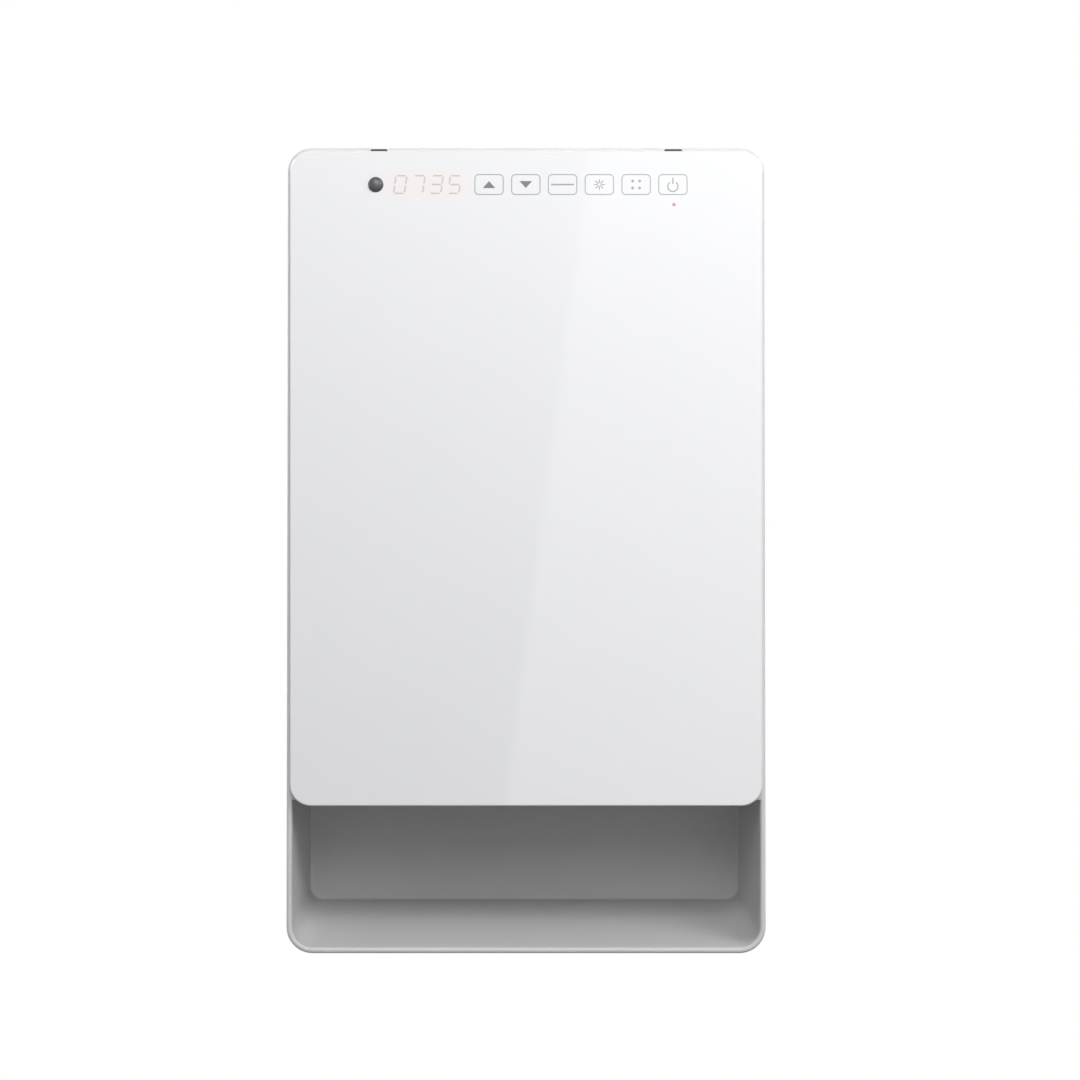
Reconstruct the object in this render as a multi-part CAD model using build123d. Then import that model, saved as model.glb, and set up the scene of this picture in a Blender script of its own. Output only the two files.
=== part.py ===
from build123d import *
import os
from math import cos, sin, radians

os.makedirs("parts", exist_ok=True)

# A wall-hung electric bathroom heater: a glass front on a moulded casing whose lower end is
# an open mouth, with a cross-flow fan, a ceramic heater and their electronics inside.
# X runs to the right, the front faces -Y, Z is up. Heights below are above the casing's
# underside, and depths are distances off the wall, so depth d lies at Y = -d.
# Every piece is lowered as it is saved, so that the bracket's screw pattern is the origin.

# Casing, seen from the front
casing_height = 461.1
casing_width_low = 274.6
casing_taper = 1.8
casing_wall = 2.5
corner_low = 15.0
corner_high = 13.5

# Casing, seen from the side
wall_gap = 2.0
parting_depth = 60.0
rim_depth = 118.0
back_edge_round = 5.0
rim_edge_round = 1.4
seam_gap = 0.4
lap_clearance = 0.2
lap_thick = 1.5
lap_reach = 4.0

# Mouth, the open scoop below the glass
mouth_back_depth = 18.0
mouth_side_rise = 8.4
mouth_back_floor = 20.5
mouth_back_corner = 8.5
mouth_front_corner = 12.0
mouth_wall = 2.2
mouth_top = 118.0
lip_thick = 3.2
lip_round = 1.4
lip_round_steps = 6
mouth_back_round = 1.6

# Glass front
glass_side_gap = 1.4
glass_top_gap = 2.3
glass_thick = 4.0
glass_corner = 12.0
glass_chamfer = 0.6
glass_up = 84.8
glass_overlap = 3.2
pad_thick = 1.0
pad_width = 8.0
pad_margin = 6.0

# Wall bracket
bracket_drop = 81.1
bracket_width = 180.0
bracket_height = 50.0
bracket_thick = 1.5
bracket_corner = 6.0
bracket_hole_radius = 2.75
bracket_holes_across = 150.0
bracket_holes_up = 28.0
hook_across = 100.0
hook_width = 20.0
hook_lip = 8.0
hook_gap = 0.5
hook_seat_gap = 0.2
lift_travel = 10.0
pocket_depth = 7.0
pocket_margin = 6.0
pocket_room = 2.0
slot_margin = 1.0
spacer_radius = 8.0
spacer_across = 200.0
spacer_up = 45.0

# Casing screws, sunk in deep wells from the back
well_inset = 14.4
well_low = 130.0
well_drop = 21.1
tower_radius = 6.0
front_tower_radius = 5.0
well_radius = 4.0
well_floor = 10.0
screw_head_radius = 3.5
screw_head_thick = 3.0
screw_radius = 1.65
screw_length = 24.0
screw_clearance = 0.05
screw_slack = 0.55
screw_tip_room = 6.0

# Air intake and dust filter in the top
intake_half = 112.0
intake_back = 24.0
intake_front = 100.0
flange_width = 3.0
flange_thick = 1.2
skirt_clearance = 0.3
skirt_wall = 1.5
skirt_drop = 12.0
bar_height = 3.0
bar_width = 2.0
bar_count = 6
filter_clearance = 0.4
filter_height = 8.5
filter_rim = 4.0
net_thick = 0.8
net_columns = 30
net_rows = 9
net_wire = 1.0
tab_across = 168.5
tab_width = 9.5
tab_thick = 2.2
tab_clearance = 0.5

# Air duct and outlet grille above the mouth
duct_inset_left = 28.4
duct_inset_right = 68.4
duct_behind_fan = 34.0
duct_before_fan = 30.0
duct_wall = 2.0
duct_height = 34.5
seal_thick = 2.0
grille_thick = 2.5
grille_gap = 0.3
vane_count = 7
vane_height = 9.0
vane_thick = 1.6
vane_tilt = 20.0
vane_drop = 0.1
rib_count = 3
rib_thick = 2.0
rib_height = 8.0

# Ceramic heater in the duct
end_frame_thick = 6.0
end_frame_height = 22.0
heater_rise = 7.5
bar_thick = 7.0
heater_bar_count = 3
core_height = 20.0
fin_pitch = 3.5
fin_thick = 0.5
spade_width = 6.0
spade_thick = 0.8
spade_reach = 12.0
spade_clearance = 0.3
cutout_radius = 8.0
cutout_height = 8.0
fuse_radius = 2.0
fuse_length = 12.0
clip_size = 5.0
clip_thick = 2.0
safety_inset = 52.8

# Cross-flow fan
fan_depth = 62.0
fan_above_duct = 43.0
rotor_end_gap = 4.0
rotor_radius = 30.5
blade_outer = 30.0
blade_inner = 24.0
blade_count = 32
blade_thick_angle = 2.0
blade_dip = 1.0
blade_lead = 6.0
disc_thick = 2.0
disc_count = 5
ring_hole_radius = 23.0
hub_radius = 8.0
hub_length = 12.0
shaft_radius = 3.0
shaft_press = 0.02
shaft_short = 1.0
running_clearance = 0.05
scroll_shift = 4.0
scroll_sheet = 1.2
scroll_sweep = 50.0
tongue_rise = 27.0
tongue_lip = 14.0
plate_sheet = 1.5
plates_behind_fan = 38.0
plates_before_fan = 44.0
plate_rise = 88.0
plate_chamfer = 18.0
foot_width = 12.0
foot_low = 8.0
foot_height = 75.0
foot_screw_spacing = 55.0
foot_boss_radius = 5.0
foot_screw_reach = 12.0
foot_head_radius = 3.0
bush_radius = 6.0
bush_length = 8.0
rubber_radius = 14.0
rubber_waist = 12.0
shaft_hole_radius = 8.0

# Shaded-pole motor
bore_radius = 15.5
armature_radius = 15.0
armature_length = 24.0
stator_half = 28.0
stator_above = 24.0
stator_below = 42.0
stator_stack = 20.0
window_half = 16.0
leg_height = 10.0
window_height = 14.0
bobbin_wall = 1.5
bobbin_flange = 2.0
bobbin_clearance = 1.0
coil_thick = 8.0
coil_half = 13.0
coil_inset = 1.0
inner_bracket_thick = 14.5
outer_bracket_thick = 10.0
bracket_half_height = 9.0
bracket_recess = 4.0
bracket_recess_radius = 17.0
bracket_recess_wall = 2.0
motor_screw_spacing = 44.0
motor_screw_radius = 1.45
motor_screw_proud = 1.0
shaft_overhang = 4.0

# Power board and what stands on it
board_left = -100.0
board_right = 60.0
board_above_duct = 105.0
board_height = 80.0
board_depth = 16.0
board_thick = 1.6
board_screw_inset = 5.0
boss_radius = 3.5
small_screw_radius = 1.25
small_head_radius = 2.5
small_head_thick = 2.0
small_screw_length = 8.0
relay_size = (19.0, 15.5, 15.0)
relay_pitch = 23.0
relay_count = 3
relay_left = 10.0
relay_above = 5.0
film_size = (26.0, 17.0, 10.0)
film_left = 82.0
film_above = 5.0
core_size = (28.0, 18.0, 26.0)
core_left_on_board = 12.0
core_above = 36.0
winding_size = (20.0, 23.0, 16.0)
can_radius = 5.0
can_height = 20.0
can_places = ((54.0, 40.0), (68.0, 40.0), (61.0, 56.0))
sink_size = (36.0, 25.0, 3.0)
sink_left = 84.0
sink_above = 52.0
sink_fins = 6
sink_fin_height = 10.0
sink_fin_thick = 1.5
triac_size = (10.0, 16.0, 4.5)
triac_leg = 6.0
triac_leg_inset = 1.8
triac_leg_pitch = 2.8
triac_leg_thick = 0.8
triac_leg_count = 3
holder_size = (22.0, 4.0, 7.0)
holder_left = 116.0
holder_above = 8.0
fuse_tube_radius = 2.6
fuse_tube_length = 20.0
fuse_tube_rise = 1.0
plug_left = 146.0
heater_plug_above = 8.5
heater_plug_size = (12.0, 8.0, 24.0)
motor_plug_above = 42.0
motor_plug_size = (12.0, 18.0, 12.0)
ribbon_plug_left = 44.0
ribbon_plug_above = 66.0
ribbon_plug_size = (16.0, 12.0, 8.0)

# Touch controls behind the glass
control_drop = 21.4
key_first = -21.2
key_pitch = 21.0
key_count = 6
key_pad_radius = 4.0
window_half_width = 93.0
control_window_height = 13.0
touch_board_half = 98.0
touch_board_below = 17.2
touch_board_height = 31.0
touch_board_depth = 104.0
touch_screw_across = 184.0
touch_screw_low = -11.5
touch_screw_high = 10.5
touch_boss_radius = 3.0
socket_size = (16.0, 6.0, 8.0)
socket_above = 2.0
display_left = -78.5
display_width = 43.0
display_height = 12.4
display_gap = 0.2
eye_across = -86.0
eye_radius = 3.0
eye_gap = 0.5
light_across = 83.8
light_drop = 11.7
light_radius = 1.5
light_hole_radius = 2.5
sensor_inset = 18.4
sensor_drop = 61.1
sensor_size = (5.0, 5.0, 10.0)
sensor_boss_size = (6.0, 12.0)
sensor_boss_depth = 10.0

# Supply cable entry
cable_inset = 24.4
cable_above_duct = 89.0
cable_radius = 4.5
grommet_radius = 8.0
grommet_flange = 2.5
grommet_lip = 1.4
clamp_above = 13.0
clamp_half = 10.0
clamp_thick = 2.5
clamp_height = 9.0
clamp_boss_depth = 12.0
clamp_screw_reach = 6.5
terminal_above = 38.0
terminal_size = (32.0, 16.0, 24.0)
pole_count = 3
pole_hole_radius = 2.5
pole_hole_deep = 6.0
pole_hole_above = 17.0

# Leads
lead_radius = 1.0
lead_bend = 8.0
motor_lead_bend = 6.0
ribbon_width = 12.0
ribbon_thick = 1.0
ribbon_bend = 12.0
lead_pitch = 4.0
lead_step = 3.0
lead_start_gap = 0.5
heater_leads_above = 3.0
supply_leads_above = 17.0
supply_leads_down = 1.5
supply_lead_count = 2
motor_lead_count = 2
motor_leads_down = 3.0
motor_lead_gap = 2.0
ribbon_plug_out = 8.0
ribbon_climb = 20.0

# How far a cut runs past what it cuts
past = 1.0

# Sizes and places that follow
casing_width_high = casing_width_low - casing_taper
casing_half_high = casing_width_high / 2
mouth_back_half = casing_width_low / 2 - mouth_side_rise
glass_width = casing_width_high - 2 * glass_side_gap
glass_height = casing_height - glass_top_gap - glass_up
well_across = casing_width_high - 2 * well_inset
flow_left = duct_inset_left - casing_half_high
flow_right = casing_half_high - duct_inset_right
sensor_across = sensor_inset - casing_half_high
cable_across = casing_half_high - cable_inset
duct_back = fan_depth - duct_behind_fan
duct_front = fan_depth + duct_before_fan
plate_back = fan_depth - plates_behind_fan
plate_front = fan_depth + plates_before_fan
bracket_up = casing_height - bracket_drop
rim_inside = rim_depth - casing_wall
back_inside = wall_gap + casing_wall
glass_back = rim_depth + pad_thick
glass_front = glass_back + glass_thick
mouth_open_top = glass_up + glass_overlap
grille_top = mouth_top + grille_thick
duct_bottom = grille_top + seal_thick
duct_top = duct_bottom + duct_height
fan_up = duct_top + fan_above_duct
board_up = duct_top + board_above_duct
board_top = board_up + board_height
board_front = board_depth + board_thick
control_up = casing_height - control_drop
touch_board_front = touch_board_depth + board_thick
well_high = casing_height - well_drop
boss_pilot = small_screw_radius + screw_clearance
well_seat = parting_depth - well_floor


def block(x0, x1, d0, d1, z0, z1):
    """A block between two places across, two distances off the wall and two heights."""
    return Pos((x0 + x1) / 2, -(d0 + d1) / 2, (z0 + z1) / 2) * Box(x1 - x0, d1 - d0, z1 - z0)


def rod_in(radius, d0, d1, x, z):
    """A round rod square to the wall, from depth d0 to d1."""
    return Pos(x, -(d0 + d1) / 2, z) * Rot(90, 0, 0) * Cylinder(radius, d1 - d0)


def rod_across(radius, x0, x1, d, z):
    """A round rod along X."""
    return Pos((x0 + x1) / 2, -d, z) * Rot(0, 90, 0) * Cylinder(radius, x1 - x0)


def from_front(sketch, d0, d1):
    """A sketch drawn in X and height, made solid from depth d0 to d1."""
    return extrude(Plane.XZ.offset(d0) * sketch, amount=d1 - d0)


def from_side(sketch, x0, x1):
    """A sketch drawn in depth and height, made solid from x0 to x1."""
    side = Plane(origin=(x1, 0, 0), x_dir=(0, -1, 0), z_dir=(-1, 0, 0))
    return extrude(side * sketch, amount=x1 - x0)


def polygon(points):
    """A flat face inside a closed row of corners."""
    return make_face(Polyline(*points, close=True))


def lead(points, radius, bend):
    """A round wire along square runs joined by arcs; points are (x, depth, height)."""
    path = FilletPolyline(*[(x, -d, z) for x, d, z in points], radius=bend)
    return sweep(Plane(path @ 0, z_dir=path % 0) * Circle(radius), path)


def save(name, *pieces):
    """Writes one node, lowered to the bracket's origin; several pieces stay separate solids."""
    placed = [Pos(0, 0, -bracket_up) * piece for piece in pieces]
    whole = placed[0] if len(placed) == 1 else Compound(children=placed)
    export_step(whole, f"parts/{name}.step")


def casing_outline(inset):
    """The casing's front view, drawn in by inset: slightly wider below, with round corners."""
    half_low = casing_width_low / 2 - inset
    half_high = casing_width_high / 2 - inset
    high = casing_height - inset
    face = polygon([(-half_low, inset), (half_low, inset), (half_high, high), (-half_high, high)])
    face = fillet(face.vertices().sort_by(Axis.Y)[:2], corner_low - inset)
    return fillet(face.vertices().sort_by(Axis.Y)[-2:], corner_high - inset)


def casing_ring(inset, thick, d0, d1):
    """A wall of even thickness that follows the casing's outline."""
    return from_front(casing_outline(inset), d0, d1) - from_front(casing_outline(inset + thick), d0, d1)


def pair(distance):
    """Two places, evenly either side of the middle."""
    return (-distance / 2, distance / 2)


# Rear casing: the back shell, a grey plastic moulding that hangs on the bracket's hooks.
well_places = [(x, z) for x in pair(well_across) for z in (well_low, well_high)]
foot_places = [
    (x, duct_top + foot_low + foot_height / 2 + z)
    for x in (flow_left - plate_sheet - foot_width / 2, flow_right + plate_sheet + foot_width / 2)
    for z in pair(foot_screw_spacing)
]
board_screw_places = [
    (x, z)
    for x in (board_left + board_screw_inset, board_right - board_screw_inset)
    for z in (board_up + board_screw_inset, board_top - board_screw_inset)
]
cable_up = duct_top + cable_above_duct
clamp_places = [(cable_across + x, cable_up + clamp_above) for x in (-clamp_half, clamp_half)]
terminal_up = cable_up + terminal_above
terminal_left = cable_across - terminal_size[0] / 2
sensor_up = casing_height - sensor_drop

pocket_low = bracket_up - bracket_height / 2 - lift_travel - slot_margin - pocket_room
pocket_high = bracket_up + bracket_height / 2 + slot_margin + pocket_room
pocket_half = bracket_width / 2 + pocket_margin
tongue_top = bracket_up + bracket_height / 2
slot_low = tongue_top - bracket_thick - lift_travel - slot_margin
slot_high = tongue_top + hook_seat_gap

rear = from_front(casing_outline(0), wall_gap, parting_depth)
rear = fillet(rear.faces().sort_by(Axis.Y)[-1].edges(), back_edge_round)
rear -= from_front(casing_outline(casing_wall), back_inside, parting_depth)
rear += block(
    -pocket_half - casing_wall, pocket_half + casing_wall,
    back_inside - casing_wall / 2, pocket_depth + casing_wall,
    pocket_low - casing_wall, pocket_high + casing_wall,
)
for x, z in well_places:
    rear += rod_in(tower_radius, wall_gap + casing_wall / 2, parting_depth, x, z)
for x, z in foot_places:
    rear += rod_in(foot_boss_radius, wall_gap + casing_wall / 2, plate_back, x, z)
for x, z in board_screw_places:
    rear += rod_in(boss_radius, wall_gap + casing_wall / 2, board_depth, x, z)
for x, z in clamp_places:
    rear += rod_in(boss_radius, wall_gap + casing_wall / 2, clamp_boss_depth, x, z)
rear += block(
    terminal_left, terminal_left + terminal_size[0],
    wall_gap + casing_wall / 2, clamp_boss_depth,
    terminal_up, terminal_up + terminal_size[2],
)
rear += block(
    sensor_across - sensor_boss_size[0] / 2, sensor_across + sensor_boss_size[0] / 2,
    wall_gap + casing_wall / 2, sensor_boss_depth,
    sensor_up - sensor_boss_size[1] / 2, sensor_up + sensor_boss_size[1] / 2,
)
rear -= block(-pocket_half, pocket_half, 0, pocket_depth, pocket_low, pocket_high)
for x in pair(hook_across):
    half = hook_width / 2 + slot_margin
    rear -= block(x - half, x + half, 0, pocket_depth + 2 * casing_wall, slot_low, slot_high)
for x, z in well_places:
    rear -= rod_in(well_radius, 0, well_seat, x, z)
    rear -= rod_in(screw_radius + screw_slack, 0, rim_depth, x, z)
for x, z in foot_places:
    rear -= rod_in(motor_screw_radius + screw_clearance, plate_back - foot_screw_reach - past,
                   rim_depth, x, z)
for x, z in board_screw_places + clamp_places:
    rear -= rod_in(boss_pilot, back_inside, rim_depth, x, z)
rear -= rod_in(grommet_radius, 0, rim_depth, cable_across, cable_up)
intake_hole = block(-intake_half, intake_half, intake_back, intake_front,
                    casing_height - skirt_drop - past, casing_height + past)
rear -= intake_hole
save("rear_casing", rear)


# Front casing: rim, sides and mouth in one grey moulding, closed behind the glass by a front wall.
def mouth_section(depth, grow):
    """The mouth's U section at one depth: flat floor, upright sides and round corners."""
    share = (depth - mouth_back_depth) / (rim_depth - mouth_back_depth)
    front_half = casing_width_low / 2 - lip_thick
    half = mouth_back_half + (front_half - mouth_back_half) * share + grow
    low = mouth_back_floor + (lip_thick - mouth_back_floor) * share - grow
    corner = mouth_back_corner + (mouth_front_corner - mouth_back_corner) * share + grow
    face = polygon([(-half, low), (half, low), (half, mouth_top), (-half, mouth_top)])
    face = fillet(face.vertices().sort_by(Axis.Y)[:2], corner)
    return Plane.XZ.offset(depth) * face


lip_start = rim_depth - lip_round
mouth_shell = loft([mouth_section(mouth_back_depth - mouth_wall, mouth_wall),
                    mouth_section(rim_inside, mouth_wall)], ruled=True)
mouth_space = loft([mouth_section(mouth_back_depth, 0), mouth_section(lip_start, 0)], ruled=True)
mouth_back = mouth_space.faces().sort_by(Axis.Y)[-1]
mouth_space = fillet(mouth_back.edges().sort_by(Axis.Z)[:-1], mouth_back_round)
lip_turns = [90 * i / lip_round_steps for i in range(lip_round_steps + 1)]
lip_sections = [mouth_section(lip_start + lip_round * sin(radians(t)), lip_round * (1 - cos(radians(t))))
                for t in lip_turns]
mouth_space += loft(lip_sections, ruled=True)
mouth_space -= block(-casing_width_low, casing_width_low, rim_inside, rim_depth + past,
                     mouth_open_top, mouth_top + past)

front = from_front(casing_outline(0), parting_depth + seam_gap, rim_depth)
front = fillet(front.faces().sort_by(Axis.Y)[0].edges(), rim_edge_round)
front -= from_front(casing_outline(casing_wall), parting_depth, rim_inside)
front += casing_ring(casing_wall + lap_clearance, lap_thick,
                     parting_depth - lap_reach, parting_depth + lap_reach)
front += casing_ring(casing_wall / 2, casing_wall / 2 + lap_clearance + lap_thick / 2,
                     parting_depth + seam_gap, parting_depth + lap_reach)
front += mouth_shell
front -= mouth_space
for x, z in well_places:
    front += rod_in(front_tower_radius, parting_depth, rim_depth - casing_wall / 2, x, z)
    front -= rod_in(screw_radius + screw_clearance, 0, well_seat + screw_length + screw_tip_room, x, z)
touch_screw_places = [
    (x, control_up + z) for x in pair(touch_screw_across) for z in (touch_screw_low, touch_screw_high)
]
for x, z in touch_screw_places:
    front += rod_in(touch_boss_radius, touch_board_front, rim_depth - casing_wall / 2, x, z)
    front -= rod_in(boss_pilot, touch_board_front - past, rim_inside, x, z)
front -= block(-window_half_width, window_half_width, rim_inside - past, rim_depth + past,
               control_up - control_window_height / 2, control_up + control_window_height / 2)
front -= rod_in(light_hole_radius, rim_inside - past, rim_depth + past, light_across, control_up - light_drop)
front -= intake_hole
tab_low = casing_height - flange_thick - tab_thick
for x in pair(tab_across):
    half = tab_width / 2 + tab_clearance
    front -= block(x - half, x + half, intake_front - past, rim_depth + past, tab_low, casing_height + past)
save("front_casing", front)


# Glass front: toughened glass, enamelled white behind, bonded to the front wall on thin pads.
glass_middle = glass_up + glass_height / 2
glass = from_front(Pos(0, glass_middle) * RectangleRounded(glass_width, glass_height, glass_corner),
                   glass_back, glass_front)
glass = chamfer(glass.faces().sort_by(Axis.Y)[0].edges(), glass_chamfer)
save("glass_panel", glass)

pad_across = glass_width / 2 - pad_margin
pad_low = mouth_open_top + pad_margin
pad_high = glass_up + glass_height - pad_margin
pads = [block(x - pad_width / 2, x + pad_width / 2, rim_depth, glass_back, pad_low, pad_high)
        for x in (-pad_across + pad_width / 2, pad_across - pad_width / 2)]
pad_span = pad_across - pad_width
pads.append(block(-pad_span, pad_span, rim_depth, glass_back, pad_low, pad_low + pad_width))
save("glass_pads", *pads)


# Wall bracket: pressed steel plate with four screw holes and two hooks turned up at its top.
plate_face = Pos(0, bracket_up) * RectangleRounded(bracket_width, bracket_height, bracket_corner)
bracket = from_front(plate_face, 0, bracket_thick)
hook_in = pocket_depth + casing_wall + hook_gap
for x in pair(hook_across):
    half = hook_width / 2
    bracket += block(x - half, x + half, 0, hook_in + bracket_thick, tongue_top - bracket_thick, tongue_top)
    bracket += block(x - half, x + half, hook_in, hook_in + bracket_thick,
                     tongue_top - bracket_thick, tongue_top + hook_lip)
for x in pair(bracket_holes_across):
    for z in pair(bracket_holes_up):
        bracket -= rod_in(bracket_hole_radius, -past, bracket_thick + past, x, bracket_up + z)
save("wall_bracket", bracket)
save("wall_spacers", *[rod_in(spacer_radius, 0, wall_gap, x, spacer_up) for x in pair(spacer_across)])


# Intake grille: a drop-in tray with a flange on the casing's top and bars across its floor.
skirt_half = intake_half - skirt_clearance
skirt_back = intake_back + skirt_clearance
skirt_front = intake_front - skirt_clearance
tray_floor = casing_height - skirt_drop
bar_top = tray_floor + bar_height
tray = block(-intake_half - flange_width, intake_half + flange_width,
             intake_back - flange_width, intake_front + flange_width,
             casing_height, casing_height + flange_thick)
tray += block(-skirt_half, skirt_half, skirt_back, skirt_front, tray_floor, casing_height)
tray -= block(-skirt_half + skirt_wall, skirt_half - skirt_wall, skirt_back + skirt_wall,
              skirt_front - skirt_wall, tray_floor - past, casing_height + flange_thick + past)
for i in range(bar_count):
    d = skirt_back + (i + 1) * (skirt_front - skirt_back) / (bar_count + 1)
    tray += block(-skirt_half, skirt_half, d - bar_width / 2, d + bar_width / 2, tray_floor, bar_top)
for x in pair(tab_across):
    half = tab_width / 2 + tab_clearance
    tray -= block(x - half, x + half, skirt_front - skirt_wall - past, intake_front + flange_width + past,
                  tab_low, casing_height + flange_thick + past)
save("intake_grille", tray)

# Dust filter: a dark frame that lifts out of the tray by two finger tabs, with a fine net.
filter_half = skirt_half - skirt_wall - filter_clearance
filter_back = skirt_back + skirt_wall + filter_clearance
filter_front = skirt_front - skirt_wall - filter_clearance
filter_top = bar_top + filter_height
frame_outer = block(-filter_half, filter_half, filter_back, filter_front, bar_top, filter_top)
net_half = filter_half - filter_rim
net_back = filter_back + filter_rim
net_front = filter_front - filter_rim
filter_frame = frame_outer - block(-net_half, net_half, net_back, net_front,
                                   bar_top - past, filter_top + past)
for x in pair(tab_across):
    filter_frame += block(x - tab_width / 2, x + tab_width / 2, filter_front - filter_rim / 2,
                          rim_depth - tab_clearance, filter_top - tab_thick, filter_top)
save("filter_frame", filter_frame)

net = block(-net_half, net_half, net_back, net_front, bar_top, bar_top + net_thick)
column_pitch = (2 * net_half - net_wire) / net_columns
row_pitch = (net_front - net_back - net_wire) / net_rows
gaps = GridLocations(column_pitch, row_pitch, net_columns, net_rows)
gap_face = Sketch() + gaps * Rectangle(column_pitch - net_wire, row_pitch - net_wire)
net -= extrude(Pos(0, -(net_back + net_front) / 2, bar_top - past) * gap_face, amount=net_thick + 2 * past)
save("filter_net", net)


# Outlet grille: the ceiling of the mouth, resting on its walls, with tilted vanes under the duct.
grille_back = mouth_back_depth - mouth_wall / 2
grille_front = rim_inside - grille_gap
ceiling_back_half = mouth_back_half + mouth_wall / 2
casing_half_lean = (casing_width_high - casing_width_low) / 2 * grille_top / casing_height
ceiling_front_half = casing_width_low / 2 + casing_half_lean - casing_wall - grille_gap
ceiling = polygon([
    (-ceiling_back_half, -grille_back), (ceiling_back_half, -grille_back),
    (ceiling_front_half, -grille_front), (-ceiling_front_half, -grille_front),
])
grille = extrude(Pos(0, 0, mouth_top) * ceiling, amount=grille_thick)
grille -= block(flow_left, flow_right, duct_back, duct_front, mouth_top - past, grille_top + past)
vane_middle = grille_top - vane_height / 2 - vane_drop
for i in range(vane_count):
    d = duct_back + (i + 0.5) * (duct_front - duct_back) / vane_count
    vane = Box(flow_right - flow_left, vane_thick, vane_height)
    grille += Pos((flow_left + flow_right) / 2, -d, vane_middle) * Rot(vane_tilt, 0, 0) * vane
for i in range(rib_count):
    x = flow_left + (i + 1) * (flow_right - flow_left) / (rib_count + 1)
    grille += block(x - rib_thick / 2, x + rib_thick / 2, duct_back, duct_front,
                    grille_top - rib_height, grille_top)
save("outlet_grille", grille)


# Heater duct: a heat-proof plastic frame on a foam seal, between the fan and the mouth.
def duct_ring(z0, z1):
    """The duct's four walls between two heights."""
    outer = block(flow_left - duct_wall, flow_right + duct_wall, duct_back - duct_wall,
                  duct_front + duct_wall, z0, z1)
    return outer - block(flow_left, flow_right, duct_back, duct_front, z0 - past, z1 + past)


core_bottom = duct_bottom + heater_rise
spade_up = core_bottom + end_frame_height / 2
bar_spacing = (duct_front - duct_back) / (heater_bar_count + 1)
bar_depths = [duct_back + (i + 1) * bar_spacing for i in range(heater_bar_count)]
duct = duct_ring(duct_bottom, duct_top)
for d in bar_depths:
    half = (spade_width / 2 + spade_clearance, spade_thick / 2 + spade_clearance)
    duct -= block(flow_right - past, flow_right + duct_wall + past, d - half[0], d + half[0],
                  spade_up - half[1], spade_up + half[1])
save("heater_duct", duct)
save("duct_seal", duct_ring(grille_top, duct_bottom))

# Ceramic heater: stone-filled bars with pressed fins between them, held by two end frames.
core_left = flow_left + end_frame_thick
core_right = flow_right - end_frame_thick
core_low = core_bottom + (end_frame_height - core_height) / 2
frames = [block(x, x + end_frame_thick, duct_back, duct_front, core_bottom, core_bottom + end_frame_height)
          for x in (flow_left, core_right)]
save("heater_end_frames", *frames)
save("heater_bars", *[
    block(core_left, core_right, d - bar_thick / 2, d + bar_thick / 2, core_low, core_low + core_height)
    for d in bar_depths
])


def fin_pack(d0, d1):
    """A strip of upright fins on one backing sheet, filling the gap from depth d0 to d1."""
    slots = GridLocations(fin_pitch, 1, int((core_right - core_left) / fin_pitch), 1)
    gaps_between = Sketch() + slots * Rectangle(fin_pitch - fin_thick, d1 - d0)
    middle = Pos((core_left + core_right) / 2, -(d0 + d1) / 2 - fin_thick, core_low)
    return (block(core_left, core_right, d0, d1, core_low, core_low + core_height)
            - extrude(middle * gaps_between, amount=core_height))


bar_faces = [e for d in bar_depths for e in (d - bar_thick / 2, d + bar_thick / 2)]
pack_edges = [duct_back, *bar_faces, duct_front]
save("heater_fins", *[fin_pack(pack_edges[i], pack_edges[i + 1]) for i in range(0, len(pack_edges), 2)])
spade_end = flow_right + spade_reach + duct_wall
save("heater_terminals", *[
    block(flow_right, spade_end, d - spade_width / 2, d + spade_width / 2,
          spade_up - spade_thick / 2, spade_up + spade_thick / 2)
    for d in bar_depths
])

# Thermal cutout and one-shot fuse, both against the duct's front wall.
duct_face = duct_front + duct_wall
cutout_up = (duct_bottom + duct_top) / 2
cutout_across = flow_right - safety_inset
fuse_across = flow_left + safety_inset
cutout = rod_in(cutout_radius, duct_face, duct_face + cutout_height, cutout_across, cutout_up)
for x in pair(cutout_radius):
    cutout += block(cutout_across + x - spade_thick / 2, cutout_across + x + spade_thick / 2,
                    duct_face + cutout_height, duct_face + cutout_height + spade_width,
                    cutout_up - spade_width / 2, cutout_up + spade_width / 2)
save("thermal_cutout", cutout)
thermal_fuse = rod_across(fuse_radius, fuse_across - fuse_length / 2, fuse_across + fuse_length / 2,
                          duct_face + clip_size / 2, cutout_up)
for x in pair(fuse_length):
    thermal_fuse += block(fuse_across + x - clip_thick / 2, fuse_across + x + clip_thick / 2,
                          duct_face, duct_face + clip_size,
                          cutout_up - clip_size / 2, cutout_up + clip_size / 2)
save("thermal_fuse", thermal_fuse)


# Fan scroll and tongue: steel sheets that lead the air round the rotor and down the duct.
scroll_middle = (fan_depth + scroll_shift, fan_up - scroll_shift)
scroll_radius = scroll_middle[0] - duct_back
scroll_outer = scroll_radius + scroll_sheet
inner_arc = CenterArc(scroll_middle, scroll_radius, 180 - scroll_sweep, scroll_sweep)
outer_arc = CenterArc(scroll_middle, scroll_outer, 180 - scroll_sweep, scroll_sweep)
scroll_face = make_face([
    inner_arc,
    outer_arc,
    Line(inner_arc @ 0, outer_arc @ 0),
    Line(inner_arc @ 1, (duct_back, duct_top)),
    Line((duct_back, duct_top), (duct_back - scroll_sheet, duct_top)),
    Line((duct_back - scroll_sheet, duct_top), outer_arc @ 1),
])
save("fan_scroll", from_side(scroll_face, flow_left, flow_right))
tongue_up = duct_top + tongue_rise
tongue_face = polygon([
    (duct_front, duct_top), (duct_front + scroll_sheet, duct_top), (duct_front + scroll_sheet, tongue_up),
    (duct_front + tongue_lip, tongue_up), (duct_front + tongue_lip, tongue_up + scroll_sheet),
    (duct_front, tongue_up + scroll_sheet),
])
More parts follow.
